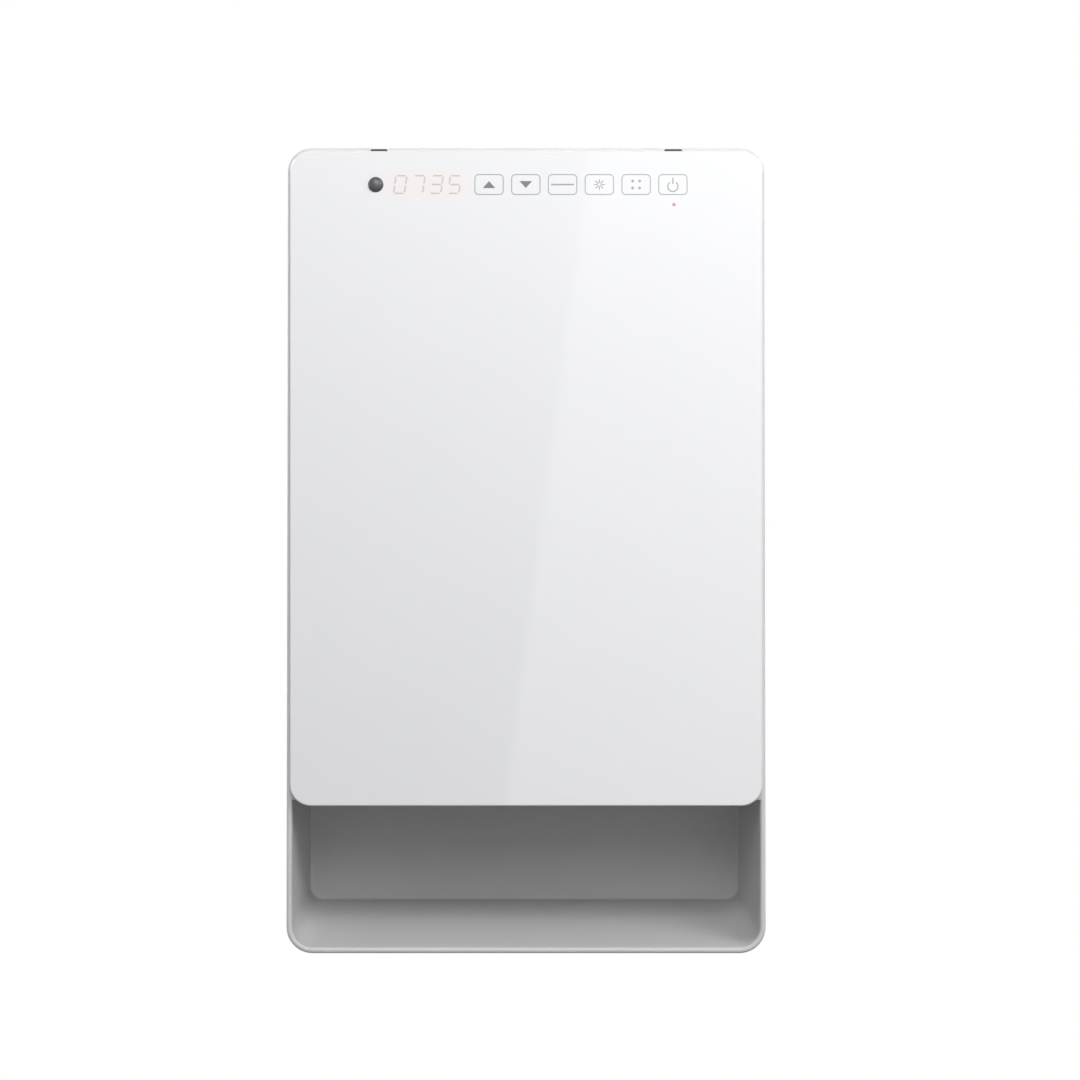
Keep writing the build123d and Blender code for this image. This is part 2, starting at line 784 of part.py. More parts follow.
save("vortex_tongue", from_side(tongue_face, flow_left, flow_right))

# Side plates: steel ends of the fan, each with a foot screwed to the rear casing's bosses.
plate_top = duct_top + plate_rise
side_face = polygon([
    (plate_back, duct_top),
    (plate_front - plate_chamfer, duct_top),
    (plate_front, duct_top + plate_chamfer),
    (plate_front, plate_top - plate_chamfer),
    (plate_front - plate_chamfer, plate_top),
    (plate_back, plate_top),
])
foot_base = duct_top + foot_low
plate_foot_front = plate_back + plate_sheet


def side_plate(x0, foot_x0, hole_radius):
    """One end plate with its foot turned outwards along the back."""
    plate = from_side(side_face, x0, x0 + plate_sheet)
    plate += block(foot_x0, foot_x0 + foot_width, plate_back, plate_foot_front,
                   foot_base, foot_base + foot_height)
    plate -= rod_across(hole_radius, x0 - past, x0 + plate_sheet + past, fan_depth, fan_up)
    for x, z in foot_places:
        plate -= rod_in(motor_screw_radius + screw_slack / 2, plate_back - past,
                        plate_foot_front + past, x, z)
    return plate


left_outer = flow_left - plate_sheet
right_outer = flow_right + plate_sheet
save("side_plate_left", side_plate(left_outer, left_outer - foot_width, rubber_waist))
right_plate = side_plate(flow_right, right_outer, shaft_hole_radius)
for d in pair(motor_screw_spacing):
    right_plate -= rod_across(motor_screw_radius + screw_clearance, flow_right - past, right_outer + past,
                              fan_depth + d, fan_up)
save("side_plate_right", right_plate)
save("plate_screws", *[
    rod_in(foot_head_radius, plate_foot_front, plate_foot_front + small_head_thick, x, z)
    + rod_in(motor_screw_radius, plate_back - foot_screw_reach, plate_foot_front, x, z)
    for x, z in foot_places
])


# Fan rotor: a drum of thin curved blades on five discs, with a hub at each end.
def polar(radius, angle):
    """A point at a radius and an angle in degrees."""
    return (radius * cos(radians(angle)), radius * sin(radians(angle)))


def blade_side(turn):
    """One face of a blade, curved between the inner and the outer radius."""
    middle = (blade_inner + blade_outer) / 2
    return ThreePointArc(polar(blade_inner, turn), polar(middle, turn - blade_dip),
                         polar(blade_outer, turn + blade_lead))


near, far = blade_side(0), blade_side(blade_thick_angle)
blade = make_face([near, far, Line(near @ 0, far @ 0), Line(near @ 1, far @ 1)])
rotor_left = flow_left + rotor_end_gap
rotor_right = flow_right - rotor_end_gap
ring_of_blades = Sketch() + PolarLocations(0, blade_count) * blade
blades = from_side(Pos(fan_depth, fan_up) * ring_of_blades, rotor_left + disc_thick / 2,
                   rotor_right - disc_thick / 2)
rotor = None
disc_step = (rotor_right - rotor_left - disc_thick) / (disc_count - 1)
for i in range(disc_count):
    x = rotor_left + i * disc_step
    disc = rod_across(rotor_radius, x, x + disc_thick, fan_depth, fan_up)
    if 0 < i < disc_count - 1:
        disc -= rod_across(ring_hole_radius, x - past, x + disc_thick + past, fan_depth, fan_up)
    rotor = disc if rotor is None else rotor + disc
rotor += blades
for x0 in (rotor_left, rotor_right - hub_length):
    x1 = x0 + hub_length
    rotor += rod_across(hub_radius, x0, x1, fan_depth, fan_up)
    rotor -= rod_across(shaft_radius + shaft_press, x0 - past, x1 + past, fan_depth, fan_up)
save("fan_rotor", rotor)

# Left bearing: an end pin in a bronze bush, held in a grooved rubber ring in the plate.
bush_left = left_outer + plate_sheet / 2 - bush_length / 2
bush_right = bush_left + bush_length
save("rotor_end_pin", rod_across(shaft_radius, bush_left - shaft_overhang,
                                 rotor_left + hub_length - shaft_short,
                                 fan_depth, fan_up))
save("bearing_bush", rod_across(bush_radius, bush_left, bush_right, fan_depth, fan_up)
     - rod_across(shaft_radius + running_clearance, bush_left - past, bush_right + past, fan_depth, fan_up))
rubber = rod_across(rubber_radius, bush_left, bush_right, fan_depth, fan_up)
rubber -= (rod_across(rubber_radius + past, left_outer, flow_left, fan_depth, fan_up)
           - rod_across(rubber_waist - shaft_press, left_outer, flow_left, fan_depth, fan_up))
rubber -= rod_across(bush_radius + shaft_press, bush_left - past, bush_right + past, fan_depth, fan_up)
save("bearing_rubber", rubber)


# Shaded-pole motor: brackets either side of a laminated core, its coil round the lower leg.
stator_left = right_outer + inner_bracket_thick
stator_right = stator_left + stator_stack
motor_end = stator_right + outer_bracket_thick
motor_screw_holes = [fan_depth + d for d in pair(motor_screw_spacing)]


def drilled(piece, x0, x1):
    """The piece with its two long screw holes."""
    for d in motor_screw_holes:
        piece -= rod_across(motor_screw_radius + screw_clearance, x0 - past, x1 + past, d, fan_up)
    return piece


leg_low = fan_up - stator_below
window_low = leg_low + leg_height
stator = block(stator_left, stator_right, fan_depth - stator_half, fan_depth + stator_half,
               leg_low, fan_up + stator_above)
stator -= block(stator_left - past, stator_right + past, fan_depth - window_half, fan_depth + window_half,
                window_low, window_low + window_height)
stator -= rod_across(bore_radius, stator_left - past, stator_right + past, fan_depth, fan_up)
save("motor_stator", drilled(stator, stator_left, stator_right))

bobbin_back = fan_depth - window_half + bobbin_clearance
bobbin_front = fan_depth + window_half - bobbin_clearance
bobbin_left, bobbin_right = stator_left - bobbin_wall, stator_right + bobbin_wall
bobbin_low, bobbin_high = leg_low - bobbin_wall, window_low + bobbin_wall
bobbin = block(bobbin_left, bobbin_right, bobbin_back, bobbin_front, bobbin_low, bobbin_high)
for d in (bobbin_back, bobbin_front - bobbin_flange):
    bobbin += block(bobbin_left - coil_thick, bobbin_right + coil_thick, d, d + bobbin_flange,
                    bobbin_low - coil_thick, bobbin_high + coil_thick)
leg_space = block(stator_left, stator_right, 0, rim_depth, leg_low, window_low)
save("coil_bobbin", bobbin - leg_space)
coil_reach = coil_thick - coil_inset
coil = block(bobbin_left - coil_reach, bobbin_right + coil_reach, fan_depth - coil_half,
             fan_depth + coil_half, bobbin_low - coil_reach, bobbin_high + coil_reach)
coil -= block(bobbin_left, bobbin_right, 0, rim_depth, bobbin_low, bobbin_high)
save("motor_coil", coil)

bush_seats = ((right_outer, right_outer + bush_length), (motor_end - bush_length, motor_end))


def motor_bracket(x0, x1, recess_x0, recess_x1):
    """A cast bar across the core, hollowed over the armature and bored for its bush."""
    bar = block(x0, x1, fan_depth - stator_half, fan_depth + stator_half,
                fan_up - bracket_half_height, fan_up + bracket_half_height)
    bar += rod_across(bracket_recess_radius + bracket_recess_wall, x0, x1, fan_depth, fan_up)
    bar -= rod_across(bracket_recess_radius, recess_x0, recess_x1, fan_depth, fan_up)
    bar -= rod_across(bush_radius + shaft_press, x0 - past, x1 + past, fan_depth, fan_up)
    return drilled(bar, x0, x1)


save("motor_brackets",
     motor_bracket(right_outer, stator_left, stator_left - bracket_recess, stator_left + past),
     motor_bracket(stator_right, motor_end, stator_right - past, stator_right + bracket_recess))
save("motor_bushes", *[
    rod_across(bush_radius, x0, x1, fan_depth, fan_up)
    - rod_across(shaft_radius + running_clearance, x0 - past, x1 + past, fan_depth, fan_up)
    for x0, x1 in bush_seats
])
armature_left = (stator_left + stator_right - armature_length) / 2
save("motor_armature",
     rod_across(armature_radius, armature_left, armature_left + armature_length, fan_depth, fan_up)
     - rod_across(shaft_radius + shaft_press, armature_left - past, armature_left + armature_length + past,
                  fan_depth, fan_up))
save("motor_shaft", rod_across(shaft_radius, rotor_right - hub_length + shaft_short,
                               motor_end + shaft_overhang, fan_depth, fan_up))
save("motor_screws", *[
    rod_across(motor_screw_radius, flow_right - motor_screw_proud, motor_end, d, fan_up)
    + rod_across(small_head_radius, motor_end, motor_end + small_head_thick, d, fan_up)
    for d in motor_screw_holes
])


# Power board: a glass-fibre board on four bosses of the rear casing.
board = block(board_left, board_right, board_depth, board_front, board_up, board_top)
for x, z in board_screw_places:
    board -= rod_in(small_screw_radius + screw_slack, board_depth - past, board_front + past, x, z)
save("power_board", board)
save("board_screws", *[
    rod_in(small_head_radius, board_front, board_front + small_head_thick, x, z)
    + rod_in(small_screw_radius, board_depth - small_screw_length, board_front, x, z)
    for x, z in board_screw_places
])


def on_board(left, above, size):
    """A block standing on the board; left and above are from the board's lower left corner."""
    x, z = board_left + left, board_up + above
    return block(x, x + size[0], board_front, board_front + size[1], z, z + size[2])


save("relays", *[on_board(relay_left + i * relay_pitch, relay_above, relay_size) for i in range(relay_count)])
save("film_capacitor", on_board(film_left, film_above, film_size))
winding_left = core_left_on_board + (core_size[0] - winding_size[0]) / 2
winding_above = core_above + (core_size[2] - winding_size[2]) / 2
save("transformer", on_board(core_left_on_board, core_above, core_size)
     + on_board(winding_left, winding_above, winding_size))
save("electrolytic_capacitors", *[
    rod_in(can_radius, board_front, board_front + can_height, board_left + x, board_up + z)
    for x, z in can_places
])

# Heat sink with upright fins, and the fan's switching part pressed against its underside.
sink = on_board(sink_left, sink_above, sink_size)
for i in range(sink_fins):
    left = sink_left + i * (sink_size[0] - sink_fin_thick) / (sink_fins - 1)
    sink += on_board(left, sink_above + sink_size[2], (sink_fin_thick, sink_size[1], sink_fin_height))
save("heat_sink", sink)
triac_left = sink_left + (sink_size[0] - triac_size[0]) / 2
triac_above = sink_above - triac_size[2]
triac = Pos(0, -triac_leg, 0) * on_board(triac_left, triac_above, triac_size)
for i in range(triac_leg_count):
    triac += on_board(triac_left + triac_leg_inset + i * triac_leg_pitch, triac_above + triac_leg_inset,
                      (triac_leg_thick, triac_leg, triac_leg_thick))
save("triac", triac)

# Board fuse: a ceramic tube lying in its holder.
tube_left = board_left + holder_left + (holder_size[0] - fuse_tube_length) / 2
tube_up = board_up + holder_above + holder_size[2] / 2
save("board_fuse", on_board(holder_left, holder_above, holder_size)
     + rod_across(fuse_tube_radius, tube_left, tube_left + fuse_tube_length,
                  board_front + holder_size[1] + fuse_tube_rise, tube_up))

# Plugs: one for the heater and supply leads, one for the motor's, and one at each end of
# the display's ribbon.
ribbon_across = board_left + ribbon_plug_left + ribbon_plug_size[0] / 2
socket_up = control_up - touch_board_below + socket_above
save("board_plugs",
     on_board(plug_left, heater_plug_above, heater_plug_size),
     on_board(plug_left, motor_plug_above, motor_plug_size),
     on_board(ribbon_plug_left, ribbon_plug_above, ribbon_plug_size),
     block(ribbon_across - socket_size[0] / 2, ribbon_across + socket_size[0] / 2,
           touch_board_depth - socket_size[1], touch_board_depth, socket_up, socket_up + socket_size[2]))

# Supply: rubber grommet in the back, cord clamp, and a screw terminal block above it.
grommet = rod_in(grommet_radius + grommet_flange, wall_gap - grommet_lip, back_inside + grommet_lip,
                 cable_across, cable_up)
grommet -= (rod_in(grommet_radius + grommet_flange + past, wall_gap, back_inside, cable_across, cable_up)
            - rod_in(grommet_radius - screw_clearance, wall_gap, back_inside, cable_across, cable_up))
grommet -= rod_in(cable_radius, 0, back_inside + grommet_lip + past, cable_across, cable_up)
save("cable_grommet", grommet)
clamp_end = clamp_half + boss_radius
clamp_bar = block(cable_across - clamp_end, cable_across + clamp_end, clamp_boss_depth,
                  clamp_boss_depth + clamp_thick, cable_up + clamp_above - clamp_height / 2,
                  cable_up + clamp_above + clamp_height / 2)
for x, z in clamp_places:
    clamp_bar -= rod_in(small_screw_radius + screw_slack, clamp_boss_depth - past,
                        clamp_boss_depth + clamp_thick + past, x, z)
save("cable_clamp", clamp_bar)
save("clamp_screws", *[
    rod_in(small_head_radius, clamp_boss_depth + clamp_thick,
           clamp_boss_depth + clamp_thick + small_head_thick, x, z)
    + rod_in(small_screw_radius, clamp_boss_depth - clamp_screw_reach, clamp_boss_depth + clamp_thick, x, z)
    for x, z in clamp_places
])
terminals = block(terminal_left, terminal_left + terminal_size[0], clamp_boss_depth,
                  clamp_boss_depth + terminal_size[1], terminal_up, terminal_up + terminal_size[2])
terminal_front = clamp_boss_depth + terminal_size[1]
for i in range(pole_count):
    x = terminal_left + (i + 0.5) * terminal_size[0] / pole_count
    terminals -= rod_in(pole_hole_radius, terminal_front - pole_hole_deep, rim_depth, x,
                        terminal_up + pole_hole_above)
save("terminal_block", terminals)

# Room sensor: a small capsule on its own boss, in the stream of incoming air.
save("room_sensor", block(sensor_across - sensor_size[0] / 2, sensor_across + sensor_size[0] / 2,
                          sensor_boss_depth, sensor_boss_depth + sensor_size[1],
                          sensor_up - sensor_size[2] / 2, sensor_up + sensor_size[2] / 2))


# Touch board: behind the glass on four bosses, with all that shows or is touched through it.
touch_low = control_up - touch_board_below
touch_board = block(-touch_board_half, touch_board_half, touch_board_depth, touch_board_front,
                    touch_low, touch_low + touch_board_height)
for x, z in touch_screw_places:
    touch_board -= rod_in(small_screw_radius + screw_slack, touch_board_depth - past,
                          touch_board_front + past, x, z)
save("touch_board", touch_board)
save("touch_board_screws", *[
    rod_in(small_head_radius, touch_board_depth - small_head_thick, touch_board_depth, x, z)
    + rod_in(small_screw_radius, touch_board_depth, touch_board_depth + small_screw_length, x, z)
    for x, z in touch_screw_places
])
save("touch_pads", *[
    rod_in(key_pad_radius, touch_board_front, glass_back, key_first + i * key_pitch, control_up)
    for i in range(key_count)
])
save("display_module", block(display_left, display_left + display_width, touch_board_front,
                             glass_back - display_gap, control_up - display_height / 2,
                             control_up + display_height / 2))
save("infrared_receiver", rod_in(eye_radius, touch_board_front, glass_back - eye_gap,
                                 eye_across, control_up))
save("status_light", rod_in(light_radius, touch_board_front, glass_back - eye_gap,
                            light_across, control_up - light_drop))

# Casing screws: four, each sunk in its well and driven into the front casing's tower.
save("casing_screws", *[
    rod_in(screw_head_radius, well_seat - screw_head_thick, well_seat, x, z)
    + rod_in(screw_radius, well_seat, well_seat + screw_length, x, z)
    for x, z in well_places
])

# Leads: three to the heater, two to the motor, two from the terminal block and the flat
# ribbon to the touch board, each whole from plug to plug.
plug_face = board_left + plug_left + heater_plug_size[0]
heater_plug_low = board_up + heater_plug_above
lead_depth = board_front + heater_plug_size[1] / 2
heater_lead_start = spade_end + lead_bend + lead_start_gap
leads = []
for i, d in enumerate(bar_depths):
    x = heater_lead_start + i * lead_step
    z = heater_plug_low + heater_leads_above + i * lead_pitch
    leads.append(lead([(spade_end, d, spade_up), (x, d, spade_up), (x, lead_depth, spade_up),
                       (x, lead_depth, z), (plug_face, lead_depth, z)], lead_radius, lead_bend))
supply_depth = board_front + heater_plug_size[1] - supply_leads_down
for i in range(supply_lead_count):
    z = heater_plug_low + supply_leads_above + i * lead_pitch
    leads.append(rod_across(lead_radius, plug_face, terminal_left, supply_depth, z))
save("power_leads", *leads)
motor_lead_depth = board_front + motor_plug_size[1] - motor_leads_down
motor_lead_start = bobbin_right + motor_lead_gap
motor_lead_up = bobbin_high + coil_thick / 2
leads = []
for i in range(motor_lead_count):
    x = motor_lead_start + i * lead_step
    z = board_up + motor_plug_above + (i + 1) * lead_pitch
    leads.append(lead([(x, bobbin_back, motor_lead_up), (x, motor_lead_depth, motor_lead_up),
                       (x, motor_lead_depth, z), (plug_face, motor_lead_depth, z)],
                      lead_radius, motor_lead_bend))
save("motor_leads", *leads)
ribbon_depth = board_front + ribbon_plug_out
ribbon_low = board_up + ribbon_plug_above + ribbon_plug_size[2]
socket_depth = touch_board_depth - socket_size[1] / 2
ribbon_straight = (socket_up - ribbon_low - ribbon_climb) / 2
ribbon_path = FilletPolyline(
    (ribbon_across, -ribbon_depth, ribbon_low),
    (ribbon_across, -ribbon_depth, ribbon_low + ribbon_straight),
    (ribbon_across, -socket_depth, ribbon_low + ribbon_straight + ribbon_climb),
    (ribbon_across, -socket_depth, socket_up),
    radius=ribbon_bend,
)
ribbon_start = Plane(ribbon_path @ 0, x_dir=(1, 0, 0), z_dir=ribbon_path % 0)
save("display_ribbon", sweep(ribbon_start * Rectangle(ribbon_width, ribbon_thick), ribbon_path))
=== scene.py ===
from math import pi, radians

import bmesh
import bpy
import numpy as np
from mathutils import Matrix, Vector


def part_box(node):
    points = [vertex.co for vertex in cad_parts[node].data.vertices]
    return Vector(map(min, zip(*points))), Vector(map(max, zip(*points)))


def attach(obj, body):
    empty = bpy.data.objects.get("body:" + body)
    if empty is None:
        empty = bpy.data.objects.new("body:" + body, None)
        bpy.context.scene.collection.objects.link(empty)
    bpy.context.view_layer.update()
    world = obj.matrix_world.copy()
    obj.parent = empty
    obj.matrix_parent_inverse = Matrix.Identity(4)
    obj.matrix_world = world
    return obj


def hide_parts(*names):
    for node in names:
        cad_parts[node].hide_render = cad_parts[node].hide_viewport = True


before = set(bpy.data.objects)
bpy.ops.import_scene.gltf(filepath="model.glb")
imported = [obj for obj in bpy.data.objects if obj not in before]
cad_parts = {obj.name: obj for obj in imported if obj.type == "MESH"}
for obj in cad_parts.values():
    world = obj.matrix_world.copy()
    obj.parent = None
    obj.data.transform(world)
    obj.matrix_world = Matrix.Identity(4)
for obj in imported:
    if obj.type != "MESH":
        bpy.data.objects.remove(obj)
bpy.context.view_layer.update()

# The camera stands straight in front of the heater, two metres off and a little to its left,
# level with a place below the glass's middle. Its shift puts the heater where the picture has it.
picture_width = 0.6168
camera_distance = 2.0
camera_left = 0.020
camera_up = -0.1433
picture_right = 0.0079
sensor_width = 36.0
glass_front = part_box("glass_panel")[0].y

camera = bpy.data.objects.new("camera", bpy.data.cameras.new("camera"))
bpy.context.scene.collection.objects.link(camera)
camera.location = (-camera_left, glass_front - camera_distance, camera_up)
camera.rotation_euler = (pi / 2, 0, 0)
camera.data.sensor_width = sensor_width
camera.data.lens = sensor_width * camera_distance / picture_width
camera.data.shift_x = (picture_right + camera_left) / picture_width
bpy.context.scene.camera = camera
bpy.context.scene.view_settings.view_transform = "Standard"


# The studio: a pale floor well below the heater, a soft white room and softboxes. The room and
# every finish are trees of nodes, whose wires add up as plain sums do.
class Wire:
    """One output of a node; an expression on wires adds its Math nodes."""

    def __init__(self, tree, socket):
        self.tree, self.socket = tree, socket

    def maths(self, operation, *values):
        return self.tree.node("ShaderNodeMath", {"operation": operation}, dict(enumerate(values)))

    def __add__(self, other):
        return self.maths("ADD", self, other)

    def __sub__(self, other):
        return self.maths("SUBTRACT", self, other)

    def __rsub__(self, other):
        return self.maths("SUBTRACT", other, self)

    def __mul__(self, other):
        return self.maths("MULTIPLY", self, other)

    def __truediv__(self, other):
        return self.maths("DIVIDE", self, other)

    def __pow__(self, other):
        return self.maths("POWER", self, other)

    def __mod__(self, other):
        return self.maths("FLOORED_MODULO", self, other)

    def __lt__(self, other):
        return self.maths("LESS_THAN", self, other)

    def __gt__(self, other):
        return self.maths("GREATER_THAN", self, other)

    def __or__(self, other):
        return self.maths("MAXIMUM", self, other)

    def __abs__(self):
        return self.maths("ABSOLUTE", self)

    __radd__, __rmul__ = __add__, __mul__

    def part(self, name):
        """Another output of the same node."""
        return Wire(self.tree, self.socket.node.outputs[name])


class Tree:
    """The nodes of a material or a world, and the shader that it shows."""

    def __init__(self, shown, shader):
        shown.use_nodes = True
        self.nodes, self.links = shown.node_tree.nodes, shown.node_tree.links
        self.shader = self.nodes[shader]

    def set(self, **sockets):
        """Puts values or wires into the shader's sockets; Base_Color stands for Base Color."""
        for name, value in sockets.items():
            self.join(self.shader.inputs[name.replace("_", " ")], value)

    def join(self, socket, value):
        """Gives a socket a wire, a colour or a plain value."""
        if isinstance(value, Wire):
            self.links.new(value.socket, socket)
        elif hasattr(socket.default_value, "__len__") and len(socket.default_value) == 4:
            socket.default_value = (*value[:3], 1.0)
        else:
            socket.default_value = value

    def node(self, kind, settings, sockets):
        """A node of a type, with its settings made first and then its sockets."""
        made = self.nodes.new(kind)
        for name, value in settings.items():
            setattr(made, name, value)
        for name, value in sockets.items():
            self.join(made.inputs[name], value)
        return Wire(self, next(output for output in made.outputs if output.enabled))


class Finish(Tree):
    """A material, whose patterns follow the place on the object."""

    def __init__(self, name, **constants):
        self.material = bpy.data.materials.new(name)
        super().__init__(self.material, "Principled BSDF")
        self.set(**constants)
        self.place = self.node("ShaderNodeTexCoord", {}, {}).part("Object")

    def axis(self, name):
        """The place along X, Y or Z, in metres."""
        return self.node("ShaderNodeSeparateXYZ", {}, {0: self.place}).part(name)

    def noise(self, size, detail=2.0, stretch=(1, 1, 1)):
        """Cloudy values about 0.5 whose patches are size metres across, stretched along an axis."""
        shrink = [1 / s for s in stretch]
        place = self.node("ShaderNodeMapping", {}, {"Vector": self.place, "Scale": shrink})
        return self.node("ShaderNodeTexNoise", {}, {"Vector": place, "Scale": 1 / size, "Detail": detail})

    def cells(self, size):
        """Distance to the nearest of scattered points that lie about size metres apart, in sizes."""
        return self.node("ShaderNodeTexVoronoi", {}, {"Vector": self.place, "Scale": 1 / size})

    def blend(self, share, low, high):
        """A colour between two colours by a share."""
        return self.node("ShaderNodeMix", {"data_type": "RGBA"}, {0: share, 6: low, 7: high})

    def bump(self, height, depth):
        """A surface raised by height, a wire from 0 to 1, times depth in metres."""
        return self.node("ShaderNodeBump", {}, {"Height": height, "Distance": depth, "Strength": 1.0})


floor_drop = 2.2
floor_half = 4.5
floor_colour = (0.93, 0.93, 0.93)
floor_lift = 0.45
room_strength = 0.08

floor_finish = Finish("floor_white", Base_Color=floor_colour, Roughness=0.9, Emission_Color=(1, 1, 1))
floor_finish.set(Emission_Strength=floor_finish.node("ShaderNodeLightPath", {}, {}) * floor_lift)
floor_mesh = bpy.data.meshes.new("floor")
corners = [(u * floor_half, v * floor_half, -floor_drop) for u, v in ((-1, -1), (1, -1), (1, 1), (-1, 1))]
floor_mesh.from_pydata(corners, [], [(0, 1, 2, 3)])
floor_mesh.materials.append(floor_finish.material)
floor = bpy.data.objects.new("floor", floor_mesh)
bpy.context.scene.collection.objects.link(floor)

world = bpy.data.worlds.new("room")
bpy.context.scene.world = world
room = Tree(world, "Background")
path = room.node("ShaderNodeLightPath", {}, {})
seen = path.part("Is Camera Ray") | path.part("Is Glossy Ray") | path.part("Is Transmission Ray")
room.set(Color=(1, 1, 1), Strength=seen * (1 - room_strength) + room_strength)


def softbox(name, place, aim, width, height, power):
    """A soft rectangular lamp that faces a point."""
    lamp = bpy.data.lights.new(name, "AREA")
    lamp.shape = "RECTANGLE"
    lamp.size, lamp.size_y, lamp.energy = width, height, power
    box = bpy.data.objects.new(name, lamp)
    bpy.context.scene.collection.objects.link(box)
    box.location = place
    box.rotation_euler = (Vector(aim) - Vector(place)).to_track_quat("-Z", "Y").to_euler()
    box.visible_camera = False
    return box


# Softboxes round the heater: three in front, one above the other, the brighter key box on the
# right and a dim box on either side. A row gives turn, rise, distance, width, height and watts.
heater_middle = Vector((0.0, -0.1, -0.15))
boxes_round = [("high_front_box", 0, 36, 1.9, 0.7, 0.6, 11.0),
               ("middle_front_box", 0, 26, 2.0, 0.7, 0.5, 5.6),
               ("low_front_box", 0, 16.5, 2.5, 0.9, 0.3, 2.8),
               ("key_box", 46, 33, 1.35, 0.7, 0.7, 7.8),
               ("left_box", -62, 3, 2.2, 0.7, 1.0, 1.8),
               ("right_box", 67, 5, 2.2, 0.35, 0.8, 1.2)]


def around(turn, rise, distance):
    """A place at a distance from the middle, turned to the right and then raised, in degrees."""
    turn, rise = radians(turn), radians(rise)
    level = Vector((np.sin(turn), -np.cos(turn), 0.0)) * np.cos(rise)
    return heater_middle + distance * (level + Vector((0.0, 0.0, np.sin(rise))))


for name, turn, rise, distance, width, height, power in boxes_round:
    softbox(name, around(turn, rise, distance), heater_middle, width, height, power)

# Two boxes high up at the sides light the rim, and two behind light the back.
for name, side, power in (("top_left_box", -1, 2.6), ("top_right_box", 1, 1.2)):
    softbox(name, (side * 0.9, -0.1, 0.45), (side * 0.137, -0.06, 0.0), 0.4, 0.4, power)
softbox("back_box", (0.6, 1.6, 0.8), heater_middle, 1.2, 1.2, 14.0)
softbox("left_back_box", (-1.6, 1.3, 0.2), heater_middle, 1.0, 1.0, 7.0)

# A bright window far in front, which shows only as the slanting reflection on the glass.
window_across, window_distance, window_up = 1.29, 3.1, -0.1
window_lean = 7.4
window = softbox("window_reflection", (window_across, -window_distance, window_up),
                 (window_across, 0.0, window_up), 2.45, 2.4, 17.0)
window.rotation_euler.rotate_axis("Z", radians(-window_lean))
window.visible_diffuse = False


# Wall bracket: pressed from zinc-plated sheet, with four screw holes and two hooks turned up.
# It stays on the wall, and everything else hangs on it.
def dress(finish, *nodes):
    """Gives one finish to each named node."""
    for node in nodes:
        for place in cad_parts[node].material_slots:
            place.material = finish.material


def zinc_sheet(name, colour, streak):
    """Zinc-plated steel: pale spangles, faint rolling streaks and small dull patches."""
    finish = Finish(name, Metallic=0.9)
    streaks = finish.noise(0.0006, 3.0, streak)
    patch = finish.noise(0.02)
    dark, light = [c * 0.78 for c in colour], [c * 1.12 for c in colour]
    spangle = finish.cells(0.004)
    finish.set(Base_Color=finish.blend(spangle * 0.3 + streaks * 0.45 + patch * 0.25, dark, light))
    finish.set(Roughness=0.30 + 0.16 * patch + 0.06 * streaks)
    finish.set(Normal=finish.bump(streaks, 0.00002))
    return finish


zinc = zinc_sheet("zinc_sheet", (0.62, 0.63, 0.65), (40, 1, 1))
dress(zinc, "wall_bracket")


# Wall spacers: two moulded rubber buttons that keep the casing's lower end off the wall.
def moulded(name, colour, grain, depth, roughness, drift=0.05, **constants):
    """Moulded plastic or rubber: a fine grain, and colour and gloss that drift a little."""
    finish = Finish(name, **constants)
    fine = finish.noise(grain, 3.0)
    broad = finish.noise(0.045, 2.0)
    dark, light = [c * (1 - drift) for c in colour], [c * (1 + drift) for c in colour]
    finish.set(Base_Color=finish.blend(broad * 0.7 + fine * 0.3, dark, light))
    finish.set(Roughness=roughness - 0.05 + 0.1 * fine)
    finish.set(Normal=finish.bump(fine, depth))
    return finish


rubber = moulded("rubber_black", (0.025, 0.025, 0.027), 0.0009, 0.00004, 0.75)
dress(rubber, "wall_spacers")


# Casing: two shells and the intake grille in their top, moulded in silver-grey plastic with a
# fine satin grain. The front shell makes the rim round the glass, the sides and the open mouth.
casing_colour = (0.69, 0.69, 0.70)
casing = moulded("casing_grey", casing_colour, 0.0005, 0.000012, 0.42, 0.03)
dress(casing, "rear_casing", "front_casing", "intake_grille")


# Dust filter: a charcoal frame with two finger tabs that drops into the intake grille's tray,
# round a net woven from fine black nylon thread.
charcoal = moulded("dark_plastic", (0.035, 0.035, 0.038), 0.0006, 0.00002, 0.5, 0.08)
dress(charcoal, "filter_frame")


def grid(rows, columns, closed=False):
    """Quads that join a grid of points. Each row's ends meet; if closed, the last row meets the first."""
    row, column = np.arange(rows if closed else rows - 1)[:, None], np.arange(columns)[None, :]
    next_row, next_column = (row + 1) % rows, (column + 1) % columns
    corners = [row * columns + column, row * columns + next_column,
               next_row * columns + next_column, next_row * columns + column]
    return np.stack(np.broadcast_arrays(*corners), -1).reshape(-1, 4)


def carried(path, profile, up, closed=False):
    """A profile carried along a path: each of its points stands off the path by its first number
    to the side and its second along up. Open ends are drawn in to the path, which closes them."""
    path, profile, up = np.array(path, float), np.array(profile, float), np.array(up, float)
    if closed:
        along = np.roll(path, -1, 0) - np.roll(path, 1, 0)
        share = np.ones(len(path))
    else:
        along = np.gradient(path, axis=0)
        order = [0, *range(len(path)), -1]
        path, along = path[order], along[order]
        share = np.array([0.0, *np.ones(len(path) - 2), 0.0])
    side = np.cross(along, up)
    side /= np.linalg.norm(side, axis=1, keepdims=True)
    lift = np.cross(side, along)
    lift /= np.linalg.norm(lift, axis=1, keepdims=True)
    rings = side[:, None] * profile[None, :, :1] + lift[:, None] * profile[None, :, 1:]
    points = path[:, None] + rings * share[:, None, None]
    return points.reshape(-1, 3), grid(len(path), len(profile), closed)


